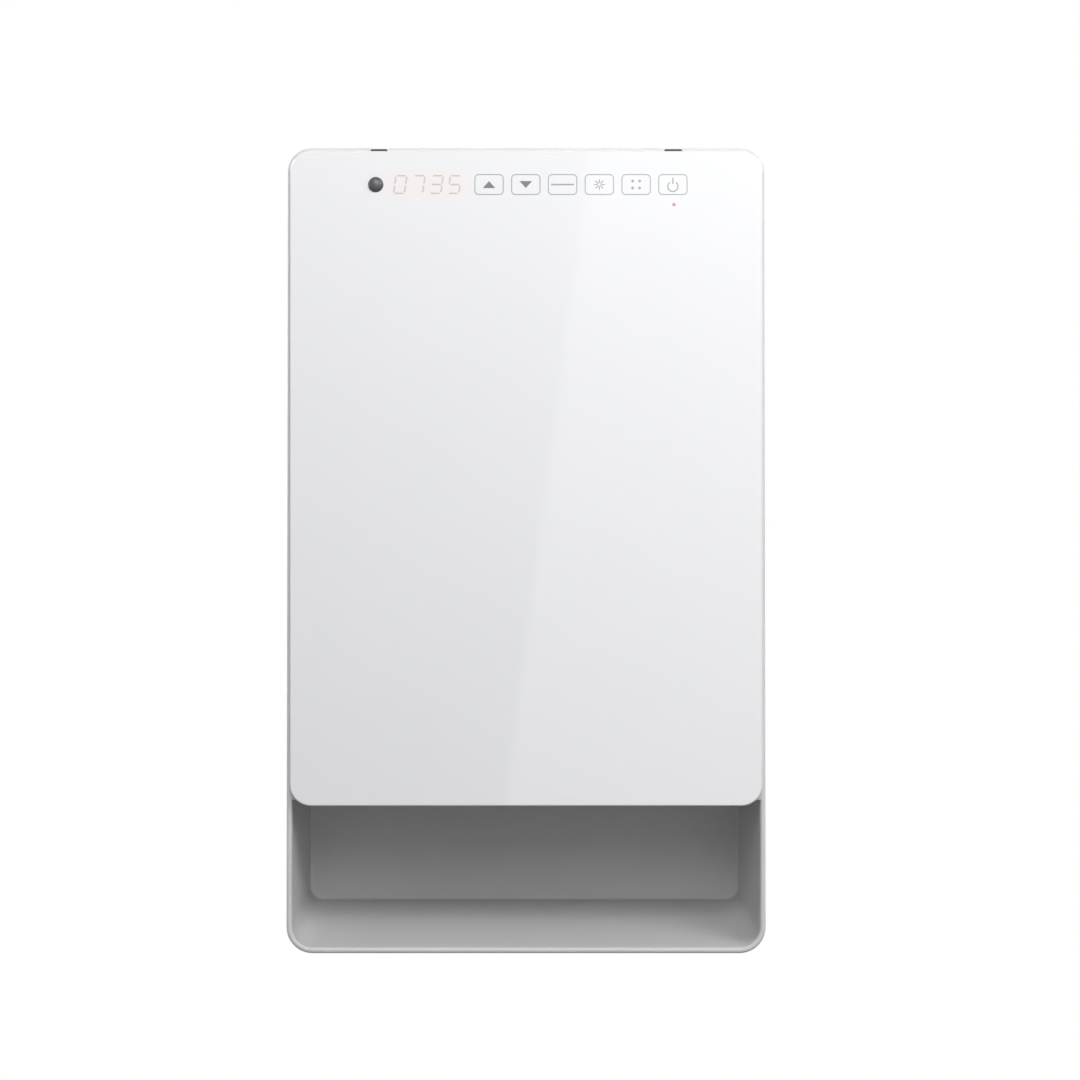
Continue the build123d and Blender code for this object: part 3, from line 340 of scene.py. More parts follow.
def circle(radius, steps):
    """A round profile."""
    turn = np.linspace(0, 2 * pi, steps, endpoint=False)
    return np.stack([radius * np.cos(turn), radius * np.sin(turn)], -1)


def joined(shapes):
    """Several shapes as one: the points in a row, and each shape's faces moved on to its own."""
    start = np.cumsum([0] + [len(points) for points, _ in shapes[:-1]])
    return (np.concatenate([points for points, _ in shapes]),
            np.concatenate([faces + first for (_, faces), first in zip(shapes, start)]))


def piece(name, shapes, finish, slot, body, *stands_for, edge=35):
    """One mesh from shapes of points and faces: doubles merged, faces turned outwards, smooth
    except at edges sharper than edge degrees. It rides on a body and may stand for CAD nodes."""
    points, faces = joined(shapes)
    mesh = bpy.data.meshes.new(name)
    mesh.from_pydata(points.tolist(), [], faces.tolist())
    shell = bmesh.new()
    shell.from_mesh(mesh)
    bmesh.ops.remove_doubles(shell, verts=shell.verts, dist=1e-7)
    bmesh.ops.recalc_face_normals(shell, faces=shell.faces)
    shell.to_mesh(mesh)
    shell.free()
    mesh.shade_smooth()
    mesh.set_sharp_from_angle(angle=radians(edge))
    mesh.materials.append(finish.material)
    made = bpy.data.objects.new(name, mesh)
    bpy.context.scene.collection.objects.link(made)
    if stands_for:
        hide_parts(*stands_for)
    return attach(made, body)


net_pitch = 0.0016
thread_radius = 0.0003
thread_press = 0.9
net_low, net_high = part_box("filter_net")
net_size = net_high - net_low
net_level = net_low.z + 2 * thread_radius
threads_along, threads_across = (int(round(size / net_pitch)) for size in (net_size.y, net_size.x))


def woven(count, crossings, along, across, first):
    """Threads side by side: each rises over one crossing thread and dips under the next, so its
    height is its radius times plus or minus the press, and its neighbours do the opposite."""
    shapes = []
    for i in range(count):
        step = np.arange(crossings + 1)
        height = thread_radius * thread_press * (-1.0) ** (step + i + first)
        path = np.zeros((crossings + 1, 3))
        path[:, along] = net_low[along] + net_size[along] * step / crossings
        path[:, across] = net_low[across] + net_size[across] * (i + 0.5) / count
        path[:, 2] = net_level + height
        shapes.append(carried(path, circle(thread_radius, 4), (0, 0, 1)))
    return shapes


net_finish = moulded("net_black", (0.02, 0.02, 0.022), 0.0004, 0.00001, 0.45, 0.1)
warp = woven(threads_along, threads_across, 0, 1, 0)
weft = woven(threads_across, threads_along, 1, 0, 1)
piece("woven_net", warp + weft, net_finish, "net_black", "filter", "filter_net", edge=180)


# Outlet grille, the mouth's ceiling of charcoal vanes; above it the foam seal and the duct,
# a heat-proof moulding.
dress(charcoal, "outlet_grille")
heatproof = moulded("heatproof_plastic", (0.06, 0.06, 0.064), 0.0008, 0.00003, 0.6, 0.1)
dress(heatproof, "heater_duct")


def foam(name, colour, cell):
    """Closed-cell foam: small round dimples, with painted shade darkening their hollows."""
    finish = Finish(name, Roughness=0.9)
    hollow = finish.cells(cell)
    # Painted shade: the colour darkens in each dimple's hollow, where the bump sinks it.
    finish.set(Base_Color=finish.blend(hollow, [c * 0.8 for c in colour], colour))
    finish.set(Normal=finish.bump(hollow, cell * 0.3))
    return finish


seal_foam = foam("foam_grey", (0.10, 0.10, 0.105), 0.0007)
dress(seal_foam, "duct_seal")


# Ceramic heater: flat aluminium bars filled with ceramic stones, and between them strips of
# thin aluminium folded to and fro. Two moulded frames hold the ends, and tinned tabs feed it.
def drawn_metal(name, colour, roughness, streak):
    """Drawn or rolled metal: fine streaks along one way, and soft clouds of gloss."""
    finish = Finish(name, Metallic=1.0)
    streaks = finish.noise(0.0003, 4.0, streak)
    cloud = finish.noise(0.012)
    finish.set(Base_Color=finish.blend(streaks * 0.6 + cloud * 0.4, [c * 0.8 for c in colour], colour))
    finish.set(Roughness=roughness + 0.12 * (cloud - 0.5))
    finish.set(Normal=finish.bump(streaks, 0.00001))
    return finish


aluminium = drawn_metal("aluminium", (0.80, 0.81, 0.82), 0.34, (60, 1, 1))
tin = drawn_metal("tin", (0.74, 0.73, 0.70), 0.28, (12, 1, 1))
dress(aluminium, "heater_bars")
dress(heatproof, "heater_end_frames")
dress(tin, "heater_terminals")

fold_pitch = 0.0030
fold_sheet = 0.0003
fold_steps = 12
fold_flat = 1.35
bar_count = 3
bar_thick = 0.007
fins_low, fins_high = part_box("heater_fins")


def folded_strip(back, front):
    """A strip folded to and fro: its middle swings between two faces as a sine wave of the place
    across, cut flat where it passes them, and it stands upright."""
    width = fins_high.x - fins_low.x
    count = int(width / fold_pitch)
    x = np.linspace(fins_low.x, fins_high.x, count * fold_steps + 1)
    swing = np.clip(fold_flat * np.sin(2 * pi * count * (x - fins_low.x) / width), -1, 1)
    y = (back + front) / 2 + swing * ((front - back) / 2 - fold_sheet)
    path = np.stack([x, y, np.full(len(x), fins_low.z)], -1)
    height = fins_high.z - fins_low.z
    half = fold_sheet / 2
    return carried(path, [(-half, 0), (half, 0), (half, height), (-half, height)], (0, 0, 1))


bar_step = (fins_high.y - fins_low.y) / (bar_count + 1)
bar_middles = [fins_low.y + (i + 1) * bar_step for i in range(bar_count)]
bar_faces = [y + side for y in bar_middles for side in (-bar_thick / 2, bar_thick / 2)]
fold_faces = [fins_low.y, *bar_faces, fins_high.y]
piece("folded_fins", [folded_strip(*fold_faces[i:i + 2]) for i in range(0, len(fold_faces), 2)],
      aluminium, "aluminium", "heater", "heater_fins", edge=60)

# On the duct's front wall: the thermal cutout, a phenolic cup, and the one-shot fuse in clips.
dress(moulded("phenolic", (0.045, 0.035, 0.03), 0.0007, 0.00002, 0.4, 0.12), "thermal_cutout")
ceramic = moulded("ceramic_white", (0.72, 0.71, 0.67), 0.0006, 0.00001, 0.45, 0.04)
dress(ceramic, "thermal_fuse")


# Fan housing: scroll, tongue and end plates bent from zinc-plated sheet. Four pan-head screws
# with cross recesses hold the plates' feet on the casing's bosses.
upright_zinc = zinc_sheet("zinc_plate", (0.60, 0.61, 0.63), (1, 1, 40))
dress(zinc, "fan_scroll", "vortex_tongue")
dress(upright_zinc, "side_plate_left", "side_plate_right")

head_rim = 0.45
recess_width = 0.0007
recess_slope = 0.00025
recess_reach = 0.55
recess_depth = 0.6
thread_pitch = 0.0011
thread_depth = 0.00028
thread_start = 0.0003
thread_fade = 0.0005
screw_steps = 40
head_steps = 14


def screw(head_radius, head_thick, shank_radius, length, seat, way):
    """A pan-head screw whose head rests on seat and whose shank points along way. Its surface is
    a radius and a height over turn and profile: the head is a flat ellipse sunk by a cross, which
    is deep where the smaller of the two sideways places is within the slot and the larger within
    its length; the shank's radius falls and rises with height less turn, which winds the thread."""
    way = Vector(way).normalized()
    side = way.orthogonal().normalized()
    over = way.cross(side)
    turn = np.linspace(0, 2 * pi, screw_steps, endpoint=False)[None, :]
    rise = np.linspace(0, pi / 2, head_steps)[:, None]
    once_round = np.ones_like(turn)
    top_radius = head_radius * np.sin(rise) * once_round
    top_height = -head_thick * (head_rim + (1 - head_rim) * np.cos(rise)) * once_round
    across, along = abs(top_radius * np.cos(turn)), abs(top_radius * np.sin(turn))
    near, far = np.minimum(across, along), np.maximum(across, along)
    cross = (np.clip((recess_width / 2 + recess_slope - near) / recess_slope, 0, 1)
             * np.clip((head_radius * recess_reach + recess_slope - far) / recess_slope, 0, 1))
    top_height = top_height + recess_depth * head_thick * cross
    tip = length - 2 * shank_radius
    depth = np.array([0.0, 0.0, *np.linspace(thread_start, tip, int(length / thread_pitch * 4)), length])
    radius = np.array([head_radius, *np.full(len(depth) - 2, shank_radius), 0.0])[:, None] * once_round
    depth = depth[:, None] * once_round
    wave = abs(2 * ((depth / thread_pitch - turn / (2 * pi)) % 1.0) - 1)
    cut = (np.clip((depth - thread_start) / thread_fade, 0, 1)
           * np.clip((length - depth) / (length - tip), 0, 1))
    radius = np.maximum(radius - thread_depth * wave * cut, 0)
    radius = np.concatenate([top_radius, radius])[..., None]
    height = np.concatenate([top_height, depth])[..., None]
    ring = np.cos(turn)[..., None] * np.array(side) + np.sin(turn)[..., None] * np.array(over)
    points = np.array(seat) + height * np.array(way) + radius * ring
    return points.reshape(-1, 3), grid(len(radius), screw_steps)


def screws(name, node, body, size, way):
    """Screws that stand for a node: one at each corner of its box, drawn in by the head's radius.
    Their size is the head's radius, the head's height and the shank's radius."""
    head_radius, head_thick, shank_radius = size
    low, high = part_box(node)
    axis = max(range(3), key=lambda i: abs(way[i]))
    seat = low[axis] + head_thick if way[axis] > 0 else high[axis] - head_thick
    length = high[axis] - low[axis] - head_thick
    spans = [sorted({round(low[i] + head_radius, 5), round(high[i] - head_radius, 5)}) for i in range(3)]
    spans[axis] = [seat]
    places = [(x, y, z) for x in spans[0] for y in spans[1] for z in spans[2]]
    piece(name, [screw(head_radius, head_thick, shank_radius, length, place, way) for place in places],
          screw_finish, "screw_steel", body, node, edge=30)


screw_finish = drawn_metal("screw_steel", (0.62, 0.62, 0.63), 0.30, (1, 1, 1))
plate_screw = (0.0030, 0.0020, 0.00145)
screws("plate_foot_screws", "plate_screws", "heater", plate_screw, (0, 1, 0))


# Fan rotor: a drum of thin curved aluminium blades on five discs. A ground steel pin turns in a
# sintered bronze bush on the left, held in a grooved rubber ring.
blade_metal = drawn_metal("rotor_aluminium", (0.74, 0.75, 0.76), 0.42, (30, 1, 1))
ground_steel = drawn_metal("shaft_steel", (0.70, 0.70, 0.71), 0.20, (1, 25, 25))
dress(blade_metal, "fan_rotor")
dress(ground_steel, "rotor_end_pin")
dress(rubber, "bearing_rubber")


def grainy_metal(name, colour, grain, roughness, depth):
    """Cast or sintered metal: a sandy skin whose pits are duller and darkened by painted shade, with broad
    patches of darker tone.
    """
    finish = Finish(name, Metallic=0.95)
    sand = finish.noise(grain, 4.0)
    patch = finish.noise(0.008)
    # The pits' darkness is painted shade; the broad patches are tone that differs at random.
    finish.set(Base_Color=finish.blend(sand * 0.7 + patch * 0.3, [c * 0.62 for c in colour], colour))
    finish.set(Roughness=roughness + 0.2 * (1 - sand))
    finish.set(Normal=finish.bump(sand, depth))
    return finish


bronze = grainy_metal("bronze", (0.66, 0.47, 0.24), 0.0003, 0.30, 0.00003)
dress(bronze, "bearing_bush", "motor_bushes")


# Shaded-pole motor: a stack of stamped steel sheets between two zinc castings, its copper coil
# wound on a nylon bobbin round the lower leg, and the armature on its shaft in the bore.
def laminated(name, colour, sheet):
    """Stacked sheets on edge: fine ridges one sheet apart across X, under thin dull varnish."""
    finish = Finish(name, Metallic=0.7)
    ridge = abs((finish.axis("X") / sheet) % 1.0 * 2 - 1)
    cloud = finish.noise(0.006)
    finish.set(Base_Color=finish.blend(ridge * 0.5 + cloud * 0.5, [c * 0.6 for c in colour], colour))
    finish.set(Roughness=0.42 + 0.2 * cloud)
    finish.set(Normal=finish.bump(ridge, 0.00012))
    return finish


lamination = 0.0005
core_steel = laminated("core_steel", (0.36, 0.37, 0.39), lamination)
cast_zinc = grainy_metal("cast_zinc", (0.62, 0.63, 0.65), 0.0008, 0.38, 0.00006)
nylon = moulded("nylon_white", (0.72, 0.71, 0.67), 0.0007, 0.000015, 0.42, 0.04)
dress(core_steel, "motor_stator", "motor_armature")
dress(cast_zinc, "motor_brackets")
dress(ground_steel, "motor_shaft")
dress(nylon, "coil_bobbin")
motor_screw = (0.0025, 0.0020, 0.00145)
screws("motor_long_screws", "motor_screws", "heater", motor_screw, (-1, 0, 0))

wire_pitch = 0.00052
turn_steps = 6
coil_corner = 0.0035
coil_swell = 0.0006
leg_half = (0.0115, 0.0065)
leg_corner = 0.0004
coil_low, coil_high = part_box("motor_coil")


def rounded_loop(half_width, half_height, corner, steps=8):
    """A closed rectangle with round corners: each corner is a quarter circle, one after another."""
    turn = np.linspace(0, pi / 2, steps)
    loop = [np.stack([u * (half_width - corner) + corner * np.cos(turn + k * pi / 2),
                      v * (half_height - corner) + corner * np.sin(turn + k * pi / 2)], -1)
            for k, (u, v) in enumerate([(1, 1), (-1, 1), (-1, -1), (1, -1)])]
    return np.concatenate(loop)


def wound_coil():
    """Wire wound round a leg: a loop carried round it whose outer face is scalloped by the turns,
    each scallop half a wave of the sine of depth, and bulges a little at mid depth."""
    half = (coil_high - coil_low) / 2
    middle = (coil_high + coil_low) / 2
    turns = int(2 * half.y / wire_pitch)
    share = np.linspace(0, 1, turns * turn_steps + 1)
    grow = wire_pitch / 2 * (abs(np.sin(pi * share * turns)) - 1) - coil_swell * (2 * share - 1) ** 2
    outer = [rounded_loop(half.x + g, half.z + g, coil_corner) for g in grow]
    inner = rounded_loop(*leg_half, leg_corner)
    rings = np.stack([inner, *outer, inner])
    depth = coil_low.y + 2 * half.y * np.array([0.0, *share, 1.0])[:, None] * np.ones(len(inner))
    points = np.stack([rings[..., 0] + middle.x, depth, rings[..., 1] + middle.z], -1)
    return points.reshape(-1, 3), grid(len(rings), len(inner), closed=True)


enamelled_copper = Finish("copper_wire", Metallic=1.0, Coat_Weight=0.6, Coat_Roughness=0.2)
strand = enamelled_copper.noise(0.0006, 3.0, (8, 1, 8))
enamelled_copper.set(Base_Color=enamelled_copper.blend(strand, (0.42, 0.17, 0.07), (0.72, 0.34, 0.16)))
enamelled_copper.set(Roughness=0.22 + 0.15 * strand)
piece("wound_coil", [wound_coil()], enamelled_copper, "copper", "heater", "motor_coil", edge=60)


# Power board: glass-fibre board under green solder mask, with copper tracks that show paler
# through it and tinned pads. Four screws hold it on the casing's bosses.
def circuit_board(name, colour, track_pitch):
    """A masked board: tracks are bands of X and of Z, cut to lengths by a blocky noise; pads are
    small discs round scattered points; the mask is glossy with a faint weave."""
    finish = Finish(name, Coat_Weight=0.5, Coat_Roughness=0.15)
    x, z = finish.axis("X"), finish.axis("Z")
    choice = finish.cells(track_pitch * 6).part("Color")
    shade = finish.node("ShaderNodeSeparateColor", {}, {0: choice})
    bands = [(abs((axis / track_pitch) % 1.0 - 0.5) < 0.22) for axis in (x, z)]
    track = bands[0] * (shade > 0.62) + bands[1] * (shade < 0.3)
    pad = finish.cells(track_pitch * 1.7) < 0.16
    weave = finish.noise(0.0005, 2.0)
    masked = finish.blend(track, colour, [c * 1.7 for c in colour])
    finish.set(Base_Color=finish.blend(pad, masked, (0.72, 0.71, 0.68)))
    finish.set(Metallic=pad * 0.8, Roughness=0.30 + 0.1 * weave)
    finish.set(Normal=finish.bump(track + pad, 0.00004))
    return finish


board_finish = circuit_board("board_green", (0.012, 0.105, 0.045), 0.0016)
dress(board_finish, "power_board")
board_screw = (0.0025, 0.0020, 0.00125)
screws("power_board_screws", "board_screws", "heater", board_screw, (0, 1, 0))


# On the power board: three relays and the film capacitor in moulded cases with round edges,
# and the transformer, a ferrite core round a taped winding.
def soft_block(low, high, rounding, steps=4):
    """A box with round edges: a point of the plain box is held inside the box drawn in by the
    rounding, then moved from there towards the point by just the rounding."""
    low, high = np.array(low, float), np.array(high, float)
    lean = rounding * np.tan(np.linspace(0, pi / 4, steps))
    spans = [np.concatenate([low[i] + rounding - lean[::-1], high[i] - rounding + lean]) for i in range(3)]
    shapes = []
    for axis in range(3):
        u, v = (axis + 1) % 3, (axis + 2) % 3
        for face in (low[axis], high[axis]):
            points = np.zeros((2 * steps, 2 * steps, 3))
            points[..., axis] = face
            points[..., u], points[..., v] = np.meshgrid(spans[u], spans[v], indexing="ij")
            held = np.clip(points, low + rounding, high - rounding)
            reach = points - held
            points = held + rounding * reach / np.linalg.norm(reach, axis=-1, keepdims=True)
            quads = grid(2 * steps, 2 * steps)
            shapes.append((points.reshape(-1, 3), quads[np.ptp(quads % (2 * steps), axis=1) < 2]))
    return joined(shapes)


relay_width = 0.019
relay_pitch = 0.023
relay_count = 3
case_round = 0.0008
lid_inset = 0.0012
lid_rise = 0.0002
lid_round = 0.0001
glossy_black = moulded("relay_black", (0.018, 0.018, 0.02), 0.0005, 0.000006, 0.22, 0.1, Coat_Weight=0.3)
relays_low, relays_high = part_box("relays")
cases = []
for i in range(relay_count):
    low = relays_low + Vector((i * relay_pitch, 0, 0))
    high = Vector((low.x + relay_width, relays_high.y, relays_high.z))
    cases.append(soft_block(low, high, case_round))
    cases.append(soft_block(low + Vector((lid_inset, -lid_rise, lid_inset)),
                            high - Vector((lid_inset, 0, lid_inset)), lid_round))
piece("relay_cases", cases, glossy_black, "relay_black", "heater", "relays")

potted_yellow = moulded("film_yellow", (0.62, 0.42, 0.03), 0.0006, 0.000006, 0.25, 0.05, Coat_Weight=0.3)
film_round = 0.0012
film_case = soft_block(*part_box("film_capacitor"), film_round)
piece("film_case", [film_case], potted_yellow, "film_yellow", "heater", "film_capacitor")

ferrite = grainy_metal("ferrite", (0.10, 0.095, 0.09), 0.0004, 0.45, 0.00002)
core_low, core_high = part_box("transformer")
core_depth = 0.018
core_round = 0.0005
winding_width = 0.020
winding_height = 0.016
winding_round = 0.0015
tape_sheet = 0.0002
tape_step = 0.002
tape_layers = 3
core = soft_block((core_low.x, core_high.y - core_depth, core_low.z), core_high, core_round)
core_centre = (core_low + core_high) / 2
winding = []
for i in range(tape_layers):
    reach = Vector((winding_width / 2 + i * tape_sheet, core_high.y - core_centre.y - i * tape_step,
                    winding_height / 2 + i * tape_sheet))
    winding.append(soft_block(core_centre - reach, core_centre + reach, winding_round))
piece("transformer_core", [core, *winding], ferrite, "ferrite", "heater", "transformer")


# Electrolytic capacitors: aluminium cans in black sleeves, rolled in near the foot, with a
# raised rim round the sunk top. Two stand below and one between them above.
def turned(profile, seat, way, steps=32):
    """A turned shape: each profile point is a radius and a distance from seat along way."""
    way = Vector(way).normalized()
    side = way.orthogonal().normalized()
    over = way.cross(side)
    profile = np.array(profile, float)
    turn = np.linspace(0, 2 * pi, steps, endpoint=False)
    ring = np.cos(turn)[:, None] * np.array(side) + np.sin(turn)[:, None] * np.array(over)
    points = np.array(seat) + profile[:, None, 1:] * np.array(way) + profile[:, None, :1] * ring[None]
    return points.reshape(-1, 3), grid(len(profile), steps)


can_radius = 0.005
cans_low, cans_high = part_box("electrolytic_capacitors")
can_height = cans_high.y - cans_low.y
can_middles = [(cans_low.x + can_radius, cans_low.z + can_radius),
               (cans_high.x - can_radius, cans_low.z + can_radius),
               ((cans_low.x + cans_high.x) / 2, cans_high.z - can_radius)]
can_profile = [(0, 0), (0.0042, 0), (can_radius, 0.0006), (can_radius, 0.0020),
               (0.0044, 0.0026), (0.0044, 0.0030), (can_radius, 0.0036),
               (can_radius, can_height - 0.0010), (0.0046, can_height - 0.0003),
               (0.0040, can_height), (0.0036, can_height - 0.0004), (0, can_height - 0.0004)]
sleeve = moulded("can_black", (0.02, 0.02, 0.03), 0.0005, 0.000005, 0.25, 0.1, Coat_Weight=0.4)
piece("capacitor_cans", [turned(can_profile, (x, cans_high.y, z), (0, -1, 0)) for x, z in can_middles],
      sleeve, "can_black", "heater", "electrolytic_capacitors")

# Heat sink of extruded aluminium with the triac against it, the ceramic fuse in its holder, the
# nylon plugs and the sleeved room sensor. A rubber grommet lines the cable entry, and above it
# stand the cord's clamp and the screw terminals.
dress(drawn_metal("extruded_aluminium", (0.76, 0.77, 0.78), 0.36, (1, 60, 1)), "heat_sink")
dress(glossy_black, "triac")
dress(ceramic, "board_fuse")
dress(nylon, "board_plugs", "terminal_block")
dress(charcoal, "cable_clamp")
dress(rubber, "cable_grommet")
dress(sleeve, "room_sensor")
screws("cord_clamp_screws", "clamp_screws", "heater", board_screw, (0, 1, 0))


# Leads in silicone sleeves: three to the heater, two to the motor, two from the terminals, and
# a flat grey ribbon up to the touch board.
lead_silicone = moulded("lead_silicone", (0.58, 0.55, 0.50), 0.0012, 0.00001, 0.5, 0.05)
dress(lead_silicone, "power_leads", "motor_leads")
ribbon_core_pitch = 0.00127
ribbon_finish = Finish("ribbon_grey")
ribbon_wave = abs((ribbon_finish.axis("X") / ribbon_core_pitch) % 1.0 * 2 - 1)
ribbon_finish.set(Base_Color=ribbon_finish.blend(ribbon_wave, (0.30, 0.30, 0.32), (0.46, 0.46, 0.48)))
ribbon_finish.set(Roughness=0.45 + 0.1 * ribbon_finish.noise(0.003))
ribbon_finish.set(Normal=ribbon_finish.bump(ribbon_wave, 0.0003))
dress(ribbon_finish, "display_ribbon")


# Touch board: on four bosses behind the glass, with a sprung foam pad under each key, the red
# digit display, the infrared eye and the small red light.
dress(board_finish, "touch_board")
screws("touch_fixing_screws", "touch_board_screws", "heater", board_screw, (0, -1, 0))
dress(foam("pad_foam", (0.16, 0.16, 0.165), 0.0006), "touch_pads")
display_window = moulded("display_dark", (0.05, 0.01, 0.01), 0.0006, 0.000004, 0.15, 0.1, Coat_Weight=0.5)
dress(display_window, "display_module")
dark_lens = moulded("eye_dark", (0.085, 0.085, 0.09), 0.0007, 0.000004, 0.35, 0.1)
dress(dark_lens, "infrared_receiver")
red_glow = Finish("light_red", Base_Color=(0.55, 0.05, 0.05), Emission_Strength=0.4)
red_glow.set(Emission_Color=red_glow.blend(red_glow.noise(0.001), (0.8, 0.06, 0.05), (0.9, 0.12, 0.1)))
dress(red_glow, "status_light")


# Glass front: toughened glass, enamelled white behind, so its colour lies under a clear,
# perfectly smooth face. Foam tape bonds it to the casing. Round the digits the display's faint
# pink glow is painted into the enamel's colour.
print_up = 0.0597
glass_colour = (0.90, 0.905, 0.925)
glow_colour = (0.93, 0.875, 0.885)
glow_middle = (-0.057, print_up)
glow_half = (0.024, 0.0085)
glass = Finish("glass_white", Roughness=0.35, Coat_Weight=1.0, Coat_Roughness=0.02, Coat_IOR=1.5)
cloud = glass.noise(0.09, 2.0)
away = [abs(glass.axis(name) - centre) / half for name, centre, half in zip("XZ", glow_middle, glow_half)]
fade = {"Value": away[0] ** 4 + away[1] ** 4, "From Min": 0.3, "From Max": 1.8, "To Min": 1.0, "To Max": 0.0}
glow = glass.node("ShaderNodeMapRange", {"interpolation_type": "SMOOTHSTEP"}, fade)
enamel = glass.blend(cloud, [c * 0.985 for c in glass_colour], glass_colour)
# Painted glow: the enamel's colour turns pink towards the digits, standing in for the display's light.
glass.set(Base_Color=glass.blend(glow, enamel, glow_colour))
dress(glass, "glass_panel")
dress(foam("bonding_pad", (0.75, 0.75, 0.75), 0.0005), "glass_pads")


# Printing on the glass: six outlined keys with plain symbols, each a thin film fired on. The four
# lit digits are painted light: the display's red glow through the glass, drawn as a thin pink film.
# Beside the digits sits the infrared eye's dark dome, and under the last key the red light's small
# window, whose lit pink is painted on the same way.
print_sunk = 0.0001
print_rise = 0.00004
print_back = glass_front + print_sunk
print_front = glass_front - print_rise


def film(outline):
    """A thin film: its outline, a closed row of x and z, drawn in to its middle at back and front."""
    outline = np.array(outline, float)
    centre = np.broadcast_to(outline.mean(0), outline.shape)
    rings = [(centre, print_back), (outline, print_back), (outline, print_front), (centre, print_front)]
    points = np.stack([np.stack([ring[:, 0], np.full(len(ring), y), ring[:, 1]], -1) for ring, y in rings])
    return points.reshape(-1, 3), grid(4, len(outline))


def stroke(row, width, closed=False):
    """A line of even width along a row of x and z."""
    row = np.array(row, float)
    path = np.stack([row[:, 0], np.full(len(row), print_back), row[:, 1]], -1)
    half, height = width / 2, print_back - print_front
    return carried(path, [(-half, 0), (half, 0), (half, height), (-half, height)], (0, -1, 0), closed)


def print_and_glow_film(name, colour):
    """A glossy film with a fine dot texture in its colour. It serves for fired enamel print, and as painted
    light for the lit digits and the red light's window.
    """
    finish = Finish(name, Coat_Weight=1.0, Coat_Roughness=0.03)
    dots = finish.noise(0.0003, 2.0)
    finish.set(Base_Color=finish.blend(dots, [c * 0.93 for c in colour], [c * 1.05 for c in colour]))
    finish.set(Roughness=0.16 + 0.1 * dots)
    return finish


key_first = -0.0212
key_pitch = 0.021
key_count = 6
key_half = (0.0081, 0.0057)
key_corner = 0.0022
outline_width = 0.0006
outline_ink = print_and_glow_film("outline_grey", (0.44, 0.445, 0.455))
key_middles = [(key_first + i * key_pitch, print_up) for i in range(key_count)]
key_loop = rounded_loop(*key_half, key_corner)
piece("key_outlines", [stroke(key_loop + place, outline_width, closed=True) for place in key_middles],
      outline_ink, "glass_white", "heater")

arrow_half = 0.0036
arrow_height = 0.0040
dark_ink = print_and_glow_film("symbol_grey", (0.17, 0.17, 0.175))
arrow = np.array([(-arrow_half, -arrow_height / 2), (arrow_half, -arrow_height / 2), (0, arrow_height / 2)])
piece("arrow_symbols", [film(arrow + key_middles[0]), film(arrow * (1, -1) + key_middles[1])],
      dark_ink, "glass_white", "heater")

bar_half = 0.0065
bar_width = 0.00084
symbol_width = 0.0006
ray_in, ray_out = 0.0008, 0.0031
ray_count = 8
mark_out = 0.0020
mark_half = 0.0010
pale_ink = print_and_glow_film("symbol_pale", (0.36, 0.365, 0.375))
bar = stroke(np.array([(-bar_half, 0), (bar_half, 0)]) + key_middles[2], bar_width)
ray_ways = [np.array((np.cos(turn), np.sin(turn))) for turn in np.arange(ray_count) * 2 * pi / ray_count]
ray_ends = np.array([ray_in, ray_out])[:, None]
rays = [stroke(ray_ends * way + key_middles[3], symbol_width) for way in ray_ways]
mark = mark_half * np.array([(-1, 0), (0, -1), (1, 0), (0, 1)])
marks = [film(mark + np.array((u, v)) * mark_out + key_middles[4]) for u in (-1, 1) for v in (-1, 1)]
piece("plain_symbols", [bar, *rays, *marks], pale_ink, "glass_white", "heater")

power_radius = 0.0029
power_drop = 0.0011
power_stem = (0.0003, 0.0040)
power_gap = radians(38)
power_turn = np.linspace(pi / 2 + power_gap, 5 * pi / 2 - power_gap, 33)
power_x = key_middles[5][0]
power_ink = print_and_glow_film("symbol_middle", (0.30, 0.305, 0.31))
ring = stroke([(power_x + power_radius * np.cos(t), print_up - power_drop + power_radius * np.sin(t))
               for t in power_turn], symbol_width)
stem = stroke([(power_x, print_up + z) for z in power_stem], symbol_width)
piece("power_symbol", [ring, stem], power_ink, "glass_white", "heater")

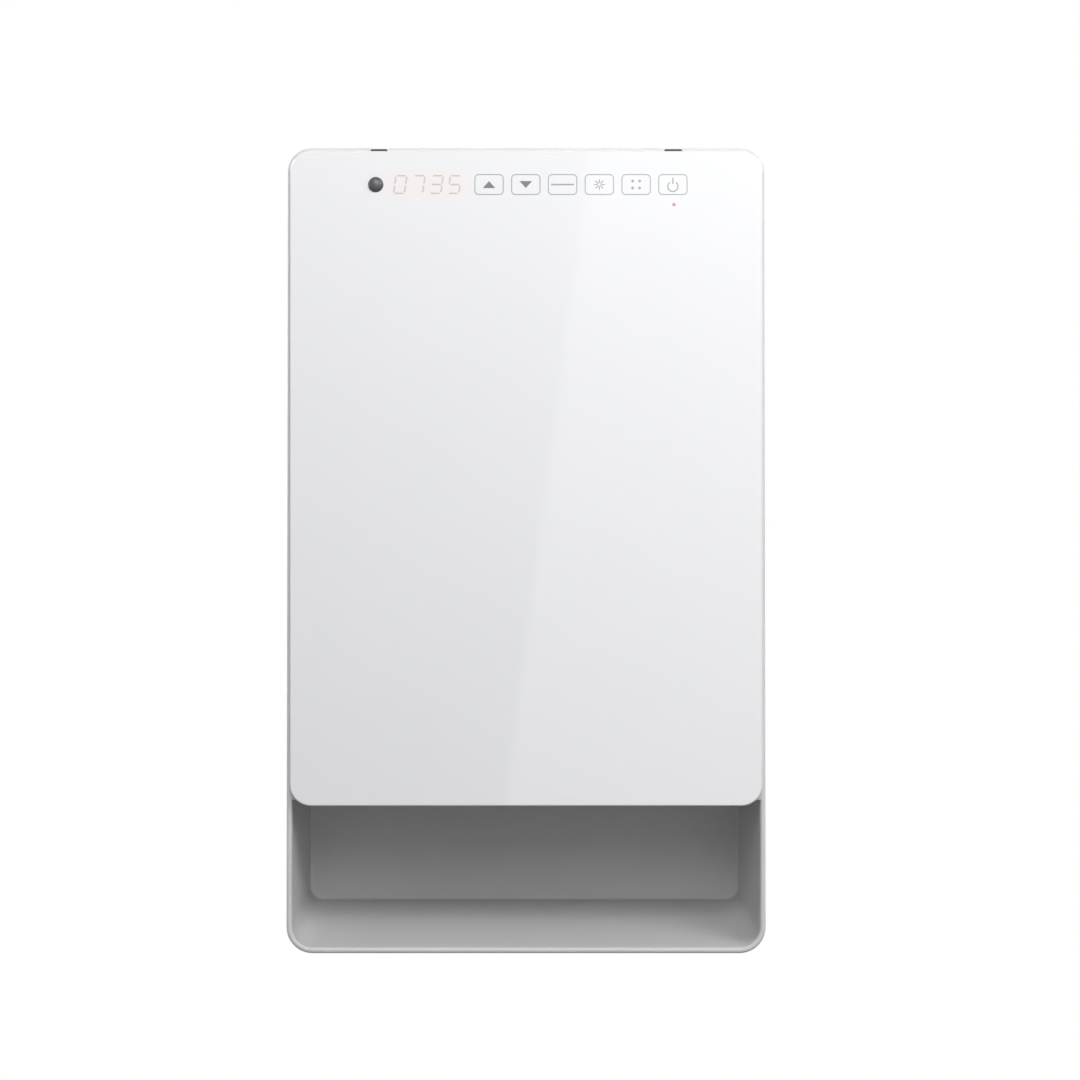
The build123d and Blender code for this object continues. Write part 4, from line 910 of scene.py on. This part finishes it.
# A digit lights some of seven strokes: a to f run clockwise from the top, and g crosses the
# middle. Each stroke's ends are places across and up, counted in widths and in half heights.
digit_right = -0.0688
digit_pitch = 0.01035
digit_width = 0.0062
digit_height = 0.0101
digit_stroke = 0.0009
digit_slant = 0.14
digit_notch = 0.62
shown = ("abcdef", "abc", "abgcd", "afgcd")
half_digit = digit_height / 2
ends = {"a": ((0, 2), (1, 2)), "b": ((1, 2), (1, 1)), "c": ((1, 1), (1, 0)), "d": ((0, 0), (1, 0)),
        "e": ((0, 1), (0, 0)), "f": ((0, 2), (0, 1)), "g": ((0, 1), (1, 1))}
segments = []
for i, lit in enumerate(shown):
    left = digit_right + i * digit_pitch - digit_width
    for name in lit:
        start, end = np.array(ends[name]) * (digit_width, half_digit)
        notch = (end - start) / np.linalg.norm(end - start) * digit_stroke * digit_notch
        row = np.array([start + notch, end - notch])
        row[:, 0] += left + digit_slant * (row[:, 1] - half_digit)
        row[:, 1] += print_up - half_digit
        segments.append(stroke(row, digit_stroke))
# The digits' pink is painted light: the lit display's glow seen through the glass.
painted_digit_light = print_and_glow_film("digit_pink", (0.72, 0.62, 0.63))
piece("display_digits", segments, painted_digit_light, "glass_white", "heater")

eye_place = (-0.0859, print_up)
eye_radius = 0.0044
eye_rise = 0.0022
dome = [(eye_radius * np.cos(t), eye_rise * np.sin(t)) for t in np.linspace(0, pi / 2, 10)]
eye_profile = [(0, -print_sunk), (eye_radius, -print_sunk), *dome[:-1], (0, eye_rise)]
piece("infrared_window", [turned(eye_profile, (eye_place[0], glass_front, eye_place[1]), (0, -1, 0), 48)],
      dark_lens, "eye_dark", "heater")

light_place = (0.0844, 0.0483)
light_radius = 0.0010
light_rise = 0.00006
# The window's pink is painted light: the lit red light seen through the glass.
light_red = print_and_glow_film("light_window", (0.62, 0.33, 0.36))
light_profile = [(0, -print_sunk), (light_radius, -print_sunk), (light_radius, print_rise), (0, light_rise)]
piece("light_window", [turned(light_profile, (light_place[0], glass_front, light_place[1]), (0, -1, 0), 24)],
      light_red, "light_red", "heater")


# Casing screws: four long pan-head screws, each sunk in its well from the back.
casing_screw = (0.0035, 0.0030, 0.00165)
screws("casing_long_screws", "casing_screws", "heater", casing_screw, (0, -1, 0))
